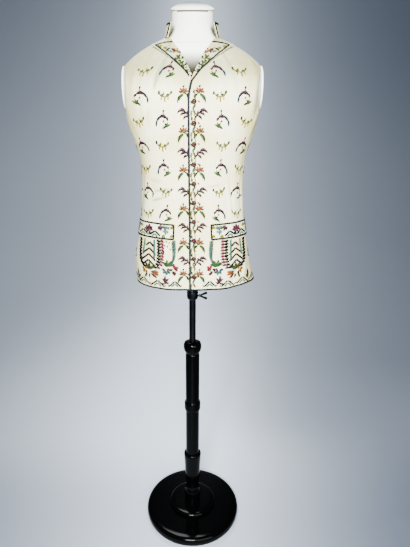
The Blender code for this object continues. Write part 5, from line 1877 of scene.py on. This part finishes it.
FLAP_PEAK = rows_of(
    Stroke,
    ("stem", 0.7, 7.5, 128, 15.5, 1.5, 0.0, "edge", "edge"),
    ("stem", -0.7, 7.5, -128, 15.5, 1.5, 0.0, "edge", "edge"),
    ("stem", 0.5, 0.6, 128, 7.5, 1.2, 0.0, "sea", "sea"),
    ("stem", -0.5, 0.6, -128, 7.5, 1.2, 0.0, "sea", "sea"),
)
FlapForm = namedtuple("FlapForm", "strokes share drop size spread")
FLAP_FORMS = rows_of(
    FlapForm,
    (LIME_SPRIG, 0.050, 0.0095, 1.1, 1.0),
    (LIME_SPRIG, 0.050, 0.0330, 1.0, 1.0),
    (BOW_LEAVES, 0.180, 0.0190, 1.2, 1.2),
    (LIME_SPRIG, 0.225, 0.0345, 1.0, 1.1),
    (PLUM_TWIG, 0.285, 0.0150, 1.2, 1.1),
    (FLAP_PEAK, 0.405, 0.0315, 1.2, 1.1),
    (MAGENTA_FLOWER, 0.560, 0.0185, 1.4, 1.3),
    (DOT, 0.525, 0.0345, 1.4, 1.4),
    (DOT, 0.575, 0.0335, 1.4, 1.4),
    (FLAP_PEAK, 0.690, 0.0315, 1.2, 1.3),
    (LIME_SPRIG, 0.760, 0.0120, 1.1, 1.3),
    (BOW_LEAVES, 0.870, 0.0190, 1.1, 1.3),
    (FLAP_PEAK, 0.950, 0.0290, 1.0, 1.2),
)


def flap_forms(guides, surface):
    """The forms along a flap. Its second measure is a drop, so up is turned over."""

    def upright(share, rise, out):
        return surface(share, FLAP_HEIGHT - rise, out)

    for form in FLAP_FORMS:
        spot = Spot(upright, form.share, FLAP_HEIGHT - form.drop, FLAP_WALL)
        lay(guides, spot, form.strokes, size=form.size, spread=form.spread)


ARCH = rows_of(
    Stroke,
    ("leaf", 11.5, 2.4, -70, 23.0, 2.2, 2.8, "forest", "edge"),
    ("leaf", -9.0, 11.4, 166, 23.5, 2.2, 4.2, "edge", "forest"),
    ("leaf", 8.4, 0.9, -101, 14.0, 2.1, 0.6, "sky", "sea"),
    ("leaf", -4.0, -6.0, 64, 12.0, 1.6, 0.0, "slate", "sky"),
)
CORAL_FLOWER = LILY[:6]
SCROLL = rows_of(
    Stroke,
    ("leaf", -2.5, -5.0, -6, 10.0, 1.9, -2.0, "forest", "green"),
    ("leaf", 2.0, -4.0, 22, 9.0, 1.7, 1.6, "olive", "leaf"),
    ("stem", 0.0, -7.0, 2, 13.0, 1.1, 1.4, "lime", "forest"),
)
LapelForm = namedtuple("LapelForm", "strokes across share turn size")
LAPEL_FORMS = rows_of(
    LapelForm,
    (LIME_SPRIG, 0.82, 0.900, 25.0, 1.2),
    (LIME_SPRIG, 0.66, 0.835, 50.0, 1.0),
    (ARCH, 0.56, 0.755, 0.0, 0.88),
    (CORAL_FLOWER, 0.24, 0.715, -39.0, 0.85),
    (SCROLL, 0.24, 0.600, -30.0, 1.2),
    (SCROLL, 0.58, 0.540, -60.0, 1.1),
    (SCROLL, 0.34, 0.440, -35.0, 1.2),
    (SCROLL, 0.54, 0.350, -40.0, 0.9),
    (SCROLL, 0.36, 0.240, -35.0, 0.8),
)


def lapel_forms(guides, surface):
    """The forms up a lapel, from the buttons to its tip."""
    for form in LAPEL_FORMS:
        spot = Spot(surface, form.across, form.share, LAPEL_WALL, turn=form.turn)
        lay(guides, spot, form.strokes, size=form.size)


print("flap forms:", len(FLAP_FORMS), "lapel forms:", len(LAPEL_FORMS))

# %% [markdown]
# ## Edges
# A dark cord of twisted silk is sewn along the front edge, the hem, the flaps and the lapels. The
# same tree lays it: threads wide for their spacing, slanted like the strands of a rope. The
# armholes and the back seams have plain running stitches in cream silk.

# %% Cords and running stitches
CORD_HALF_WIDTH, EDGE_INSET = 0.0030, 0.0012
FRONT_CORD_HALF_WIDTH, FRONT_CORD_INSET, FRONT_DEPTH = 0.0036, 0.0026, 0.11
FRONT_EDGE_TOP_Z = 1.4390
FLAP_CORD_INSET = np.array([0.010, 0.030])
FLAP_CORNERS = np.array([(0, 0), (1, 0), (1, 1), (0, 1), (0, 0)], dtype=float)
LAPEL_CORD_HALF_WIDTH, LAPEL_CORD_ACROSS, LAPEL_CORD_TOP = 0.0027, 0.885, 0.962
LAPEL_CORD_ROLL = 0.03
COLLAR_CORD_HALF_WIDTH, COLLAR_WAVE_DEG, COLLAR_WAVES = 0.0032, 1.2, 3.5
COLLAR_WAVE_LOW, COLLAR_WAVE_TOP, COLLAR_WAVE_INSET_DEG = 0.04, 0.95, 3.6
COLLAR_BORDER_UP, COLLAR_BORDER_INSET_DEG, COLLAR_BORDER_STEPS = 0.925, 2.0, 5 * PATH_STEPS
RUNNING_HALF_WIDTH, SEAM_INSET_COLUMNS = 0.0011, 2


def front_cords(guides, surface, grid, over):
    """The hem's cord, and the front edge's on the front that laps over."""
    path(guides, surface, grid[0][0], grid[1][0] + EDGE_INSET, WALL, CORD_HALF_WIDTH, "edge")
    if over:
        rows = grid[1][:, 0] < FRONT_EDGE_TOP_Z
        angle = grid[0][rows, 0] + np.degrees(FRONT_CORD_INSET / FRONT_DEPTH)
        path(guides, surface, angle, grid[1][rows, 0], WALL, FRONT_CORD_HALF_WIDTH, "ink")


def flap_cord(guides, surface):
    """A cord all round a flap."""
    corners = FLAP_CORD_INSET + FLAP_CORNERS * (1.0 - 2.0 * FLAP_CORD_INSET)
    part = np.linspace(0.0, 1.0, PATH_STEPS)[:, None]
    sides = [start + (stop - start) * part for start, stop in zip(corners, corners[1:])]
    share, drop = np.concatenate(sides).T
    path(guides, surface, share, FLAP_HEIGHT * drop, FLAP_WALL, CORD_HALF_WIDTH, "edge")


def lapel_cord(guides, surface, first):
    """A dark line inside the cream lip, up the outer edge and along the top of a lapel."""
    up = np.linspace(first, LAPEL_CORD_TOP, 2 * PATH_STEPS)
    along = np.linspace(LAPEL_CORD_ACROSS, LAPEL_CORD_ROLL, PATH_STEPS)
    across = np.concatenate([np.full(up.shape, LAPEL_CORD_ACROSS), along])
    share = np.concatenate([up, np.full(along.shape, LAPEL_CORD_TOP)])
    path(guides, surface, across, share, LAPEL_WALL, LAPEL_CORD_HALF_WIDTH, "edge")


def collar_cords(guides):
    """A wavy dark line up each end of the collar and a border along its top."""
    up = np.linspace(COLLAR_WAVE_LOW, COLLAR_WAVE_TOP, PATH_STEPS)
    wave = COLLAR_WAVE_INSET_DEG + COLLAR_WAVE_DEG * np.sin(math.tau * COLLAR_WAVES * up)
    first, last = COLLAR_END_DEG, 2.0 * BACK_DEG - COLLAR_END_DEG
    inset = COLLAR_BORDER_INSET_DEG
    along = np.linspace(first + inset, last - inset, COLLAR_BORDER_STEPS)
    high = np.full(along.shape, COLLAR_BORDER_UP)
    for angle, share in ((first + wave, up), (last - wave, up), (along, high)):
        path(guides, collar_surface, angle, share, COLLAR_WALL, COLLAR_CORD_HALF_WIDTH, "edge")


def running_stitches(guides, surface, grid, columns):
    """Running stitches along some columns of a panel's grid, from hem to neck."""
    for column in columns:
        angle, height = grid[0][:, column], grid[1][:, column]
        path(guides, surface, angle, height, WALL, RUNNING_HALF_WIDTH, "cream")

# %% Sew every piece


def sew_from(name, stitch, *jobs):
    """Sew one piece from guide-making jobs, each a function and what it is given."""
    guides = Guides()
    for job, *given in jobs:
        job(guides, *given)
    return sew(name, guides, stitch)


FRONT_JOBS = (sprig_field, front_border, pocket_forms)
left_jobs = [(job, OVER, LEFT) for job in FRONT_JOBS] + [(winding_stem,)]
right_jobs = [(job, UNDER, RIGHT) for job in (*FRONT_JOBS, pocket_dots)]
embroidery_left = sew_from("embroidery_front_left", SATIN, *left_jobs)
embroidery_right = sew_from("embroidery_front_right", SATIN, *right_jobs)
cord_left = sew_from("cord_front_left", CORD, (front_cords, OVER, front_left_grid, True))
cord_right = sew_from("cord_front_right", CORD, (front_cords, UNDER, front_right_grid, False))
flap_silks_left = sew_from("embroidery_flap_left", SATIN, (flap_forms, FLAP_LEFT))
flap_silks_right = sew_from("embroidery_flap_right", SATIN, (flap_forms, FLAP_RIGHT))
flap_cord_left = sew_from("cord_flap_left", CORD, (flap_cord, FLAP_LEFT))
flap_cord_right = sew_from("cord_flap_right", CORD, (flap_cord, FLAP_RIGHT))
lapel_silks_left = sew_from("embroidery_lapel_left", SATIN, (lapel_forms, LAPEL_LEFT))
lapel_silks_right = sew_from("embroidery_lapel_right", SATIN, (lapel_forms, LAPEL_RIGHT))
lapel_cord_left = sew_from("cord_lapel_left", CORD, (lapel_cord, LAPEL_LEFT, 0.0))
lapel_cord_right = sew_from(
    "cord_lapel_right", CORD, (lapel_cord, LAPEL_RIGHT, LAPEL_UNDER_START)
)
collar_cord = sew_from("cord_collar", CORD, (collar_cords,))
INNER, OUTER = SEAM_INSET_COLUMNS, -1 - SEAM_INSET_COLUMNS
stitches_left, stitches_right, stitches_back_left, stitches_back_right = (
    sew_from(name, RUNNING, (running_stitches, surface, grid, columns))
    for name, surface, grid, columns in (
        ("stitches_left", OVER, front_left_grid, (OUTER,)),
        ("stitches_right", UNDER, front_right_grid, (OUTER,)),
        ("stitches_back_left", UNDER, back_left_grid, (INNER, OUTER)),
        ("stitches_back_right", UNDER, back_right_grid, (INNER, OUTER)),
    )
)

# %% [markdown]
# ## Buttons
# Ten domed buttons are covered in silk: a crimson middle laid over a padded mould, in a ring of
# yellow-green, and a pale rim. The mould is a turned dome that faces out from the cloth.

# %% The covered buttons
BUTTON_RADIUS, BUTTON_HEIGHT, BUTTON_STEPS = 0.0068, 0.0042, 40
BUTTON_SEAT = 2.0 * (WALL + LAYER_GAP)
BUTTON_OUTLINE = (
    (0.06, 1.0),
    (0.30, 0.975),
    (0.55, 0.90),
    (0.75, 0.77),
    (0.88, 0.62),
    (0.97, 0.44),
    (1.0, 0.30),
    (0.96, 0.14),
    (0.86, 0.0),
)
DOME_ROWS, BUTTON_RING_STEPS = 7, 60
BUTTON_RINGS = ((0.0018, 0.0016, "crimson"), (0.0043, 0.0015, "plum"), (0.0060, 0.0006, "lime"))
BUTTON_DYES = ("crimson", "plum", "crimson", "crimson", "plum", "crimson", "plum", "crimson")
BUTTON_MIDDLE = Stroke("bud", 0.0, -1.2, 0, 2.4, 2.3, 0.0, "plum", "crimson")
MOULD_LIGHT, MOULD_DEEP = colour(196, 188, 120), colour(120, 60, 74)
MOULD = {"size": 90.0, "grain": 2200.0, "roughness": (0.48, 0.66)}
silk_button = solid_finish("button silk", MOULD_LIGHT, MOULD_DEEP, **MOULD)


def button_axes(height):
    """A button's centre and its across, up and outward directions."""
    angle = float(angle_at_x(BUTTON_X, height))
    centre = cloth_point(np.array([angle]), np.array([height]), BUTTON_SEAT)[0]
    outward = cloth_normal(np.array([angle]), np.array([height]))[0]
    across = unit(np.cross(np.array([0.0, 0.0, 1.0]), outward))
    return centre, across, np.cross(outward, across), outward


def dome_height(radius):
    """Height of a button's dome at a distance from its middle."""
    wide, tall = np.array(BUTTON_OUTLINE[:DOME_ROWS]).T
    return np.interp(radius, wide * BUTTON_RADIUS, tall * BUTTON_HEIGHT)


def button_surface(axes):
    """A button's top, by its own across and up in metres."""
    centre, across, up, outward = axes

    def point(first, second, out):
        rise = dome_height(np.hypot(first, second)) + out
        flat = first[..., None] * across + second[..., None] * up
        return centre + flat + rise[..., None] * outward

    return point


def build_button(number, guides):
    """One button's mould, with its silks added to the guides."""
    axes = button_axes(BUTTON_TOP_Z - BUTTON_STEP_Z * number)
    centre, across, up, outward = axes
    line = [(wide * BUTTON_RADIUS, tall * BUTTON_HEIGHT) for wide, tall in BUTTON_OUTLINE]
    rings = []
    for ring in turned_rings(line, BUTTON_STEPS):
        rings.append(centre + ring[:, :1] * across + ring[:, 1:2] * up + ring[:, 2:] * outward)
    mould = ring_object(f"mould_{number + 1:02d}", rings, silk_button)
    surface = button_surface(axes)
    turn = np.linspace(0.0, math.tau, BUTTON_RING_STEPS)
    for radius, half_width, dye in BUTTON_RINGS:
        path(guides, surface, radius * np.cos(turn), radius * np.sin(turn), 0.0, half_width, dye)
    middle = BUTTON_MIDDLE._replace(tip=BUTTON_DYES[number % len(BUTTON_DYES)])
    lay(guides, Spot(surface, 0.0, 0.0, 0.0), (middle,))
    return mould


button_guides = Guides()
buttons = [build_button(number, button_guides) for number in range(BUTTON_COUNT)]
button_silks = sew("silks_buttons", button_guides, SATIN)

# %% [markdown]
# ## Floor and light
# A pale paper sweep runs from the floor up behind the stand, with a pool of light painted on it as
# a stored shade. Three large soft lamps give the even light of a studio: a key close to the camera,
# a fill at the right, and one that hangs over the paper behind the stand.

# %% Sweep
SWEEP_WIDTH, SWEEP_FRONT_Y, SWEEP_BACK_Y, SWEEP_TOP_Z = 9.0, -2.6, 3.4, 4.4
SWEEP_BEND, SWEEP_BEND_STEPS, SWEEP_DROP = 2.2, 20, 0.0002
SWEEP_COLUMNS, SWEEP_FLOOR_ROWS, SWEEP_WALL_ROWS = 90, 38, 24
PAPER_LIGHT, PAPER_DEEP = colour(220, 231, 243), colour(212, 224, 236)
PAPER = {"size": 0.7, "grain": 60.0, "roughness": (0.85, 0.95), "shaded": PAPER_SHADED}
paper = solid_finish("paper", PAPER_LIGHT, PAPER_DEEP, **PAPER)
POOL_START, POOL_LEAN, POOL_NARROW = 1.58, 0.28, 1.10
Pool = namedtuple("Pool", "reach near_reach rest near_y near_span")
POOL_RIGHT, POOL_LEFT = Pool(0.12, 0.12, 0.13, 0.6, 0.6), Pool(0.08, 0.27, 0.25, 2.4, 1.9)
POOL_NEAR_DIM, POOL_NEAR_Y, POOL_NEAR_SPAN = 0.34, 0.45, 0.5
POOL_TOP_DIM, POOL_TOP_Z, POOL_TOP_SPAN = 0.25, 0.9, 1.7


def side_light(fan, y, pool):
    """How much of the pool's light is left at a share out to one side."""
    near = smooth_step((pool.near_y - y) / pool.near_span)
    rest = pool.rest * (1.0 - near)
    return rest + (1.0 - rest) / (1.0 + (fan / (pool.reach + pool.near_reach * near)) ** 2)


def paper_shade(points):
    """The pool of light behind the stand fans out, and fades to both sides and upwards."""
    x, y, z = points.T
    fan = x / np.maximum(y + POOL_START - POOL_LEAN * z, POOL_NARROW)
    light = np.where(x > 0.0, side_light(fan, y, POOL_RIGHT), side_light(fan, y, POOL_LEFT))
    light = light * (1.0 - POOL_NEAR_DIM * smooth_step((POOL_NEAR_Y - y) / POOL_NEAR_SPAN))
    light = light * (1.0 - POOL_TOP_DIM * smooth_step((z - POOL_TOP_Z) / POOL_TOP_SPAN))
    return np.clip((1.0 - light) / (1.0 - PAPER_SHADED[1]), 0.0, 1.0)


def build_sweep():
    """The floor and wall as one bent sheet."""
    turn = np.linspace(0.0, math.pi / 2.0, SWEEP_BEND_STEPS)
    floor = np.linspace(SWEEP_FRONT_Y, SWEEP_BACK_Y - SWEEP_BEND, SWEEP_FLOOR_ROWS)[:-1]
    wall = np.linspace(SWEEP_BEND, SWEEP_TOP_Z, SWEEP_WALL_ROWS)[1:]
    bend_y = SWEEP_BACK_Y - SWEEP_BEND * (1.0 - np.sin(turn))
    y = np.concatenate([floor, bend_y, np.full(wall.shape, SWEEP_BACK_Y)])
    z = np.concatenate([np.zeros(floor.shape), SWEEP_BEND * (1.0 - np.cos(turn)), wall])
    x = np.linspace(-SWEEP_WIDTH / 2.0, SWEEP_WIDTH / 2.0, SWEEP_COLUMNS + 1)
    points = [(a, b, c - SWEEP_DROP) for b, c in zip(y, z) for a in x]
    mesh = bpy.data.meshes.new("paper_sweep")
    mesh.from_pydata(points, [], grid_faces(len(y), len(x), 0, True))
    mesh.shade_smooth()
    made = new_object("paper_sweep", mesh, paper)
    add_shade(made, paper_shade)
    return made


sweep = build_sweep()
print("sweep:", triangles(sweep.data), "triangles")

# %% Lamps and the air
CHEST = (0.0, 0.0, 1.2)
Lamp = namedtuple("Lamp", "name place aim size power")
LAMPS = (
    Lamp("key lamp", (-0.16, -1.9, 1.75), CHEST, 0.7, 216.0),
    Lamp("fill lamp", (0.8, -1.7, 1.3), CHEST, 1.2, 52.0),
    Lamp("floor lamp", (-0.3, 1.3, 3.2), (-0.1, 1.4, 0.0), 1.2, 110.0),
)
AIR_COLOUR, AIR_STRENGTH = colour(214, 222, 236), 0.22


def add_lamp(lamp):
    """A large soft lamp aimed at a point."""
    light = bpy.data.lights.new(lamp.name, "AREA")
    light.shape = "SQUARE"
    light.size = lamp.size
    light.energy = lamp.power
    made = placed(lamp.name, light)
    made.location = lamp.place
    made.rotation_mode = "QUATERNION"
    made.rotation_quaternion = (Vector(lamp.aim) - Vector(lamp.place)).to_track_quat("-Z", "Y")


for lamp in LAMPS:
    add_lamp(lamp)
world = bpy.data.worlds.new("studio air")
bpy.context.scene.world = world
world.use_nodes = True
air = world.node_tree.nodes["Background"]
air.inputs["Color"].default_value = (*AIR_COLOUR, 1.0)
air.inputs["Strength"].default_value = AIR_STRENGTH
print("lamps:", [lamp.name for lamp in LAMPS])

# %% [markdown]
# ## What each piece stands for
# Each piece rides on the body of the solid that it takes the place of, and the silks ride with the
# cloth under them. A piece has its solid's name with a word before it for how it is made. The
# table of cuts lists the size of each length of cloth's cut before it was sewn, and prints its area.

# %% Bodies, and the pieces of each finish
BODIES = frame["record"]["behaviour"]["bodies"]
BODY_OF = {node: body for body, nodes in BODIES.items() for node in nodes}
OTHER_NAMES = {"form_torso": "torso_form"}
OTHER_NAMES.update((button.name, button.name.replace("mould", "button")) for button in buttons)
SLOTS = {
    "silk": (front_left, front_right, lapel_left, lapel_right, collar, flap_left, flap_right),
    "linen": (back_left, back_right),
    "button": buttons,
    "jersey": (torso, neck_cap, arm_plate_left, arm_plate_right),
    "lacquer": (base, base_disc, column_foot, column, column_cap),
    "steel": (tube, clamp_collar, socket, wing_screw),
}


def stands_for(piece):
    """A piece takes its solid's place and rides on its body."""
    node = OTHER_NAMES.get(piece.name, piece.name.split("_", 1)[1])
    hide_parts(node)
    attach(piece, BODY_OF[node])


for slot, pieces in SLOTS.items():
    for piece in pieces:
        stands_for(piece)
    print(slot, "takes", len(pieces), "pieces")

# %% Cuts
GARMENT_BODY = BODY_OF["front_left"]
Cut = namedtuple("Cut", "piece width length area with_pieces")
CUTS = (
    Cut(front_left, 0.300, 0.680, 0.150, [embroidery_left, cord_left, stitches_left]),
    Cut(front_right, 0.300, 0.680, 0.150, [embroidery_right, cord_right, stitches_right]),
    Cut(back_left, 0.260, 0.680, 0.148, [stitches_back_left]),
    Cut(back_right, 0.260, 0.680, 0.148, [stitches_back_right]),
    Cut(lapel_left, 0.065, 0.150, 0.0040, [lapel_silks_left, lapel_cord_left]),
    Cut(lapel_right, 0.065, 0.130, 0.0036, [lapel_silks_right, lapel_cord_right]),
    Cut(collar, 0.290, 0.045, 0.0100, [collar_cord]),
    Cut(flap_left, 0.170, 0.0415, 0.0068, [flap_silks_left, flap_cord_left]),
    Cut(flap_right, 0.170, 0.0415, 0.0068, [flap_silks_right, flap_cord_right]),
)


def shell_area(piece):
    """The area of one face of a shell."""
    return sum(face.area for face in piece.data.polygons) / 2.0


for cut in CUTS:
    for sewn in cut.with_pieces:
        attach(sewn, GARMENT_BODY)
    print(cut.piece.name, "measures", round(shell_area(cut.piece), 4), "m2, cut", cut.area)
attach(button_silks, GARMENT_BODY)
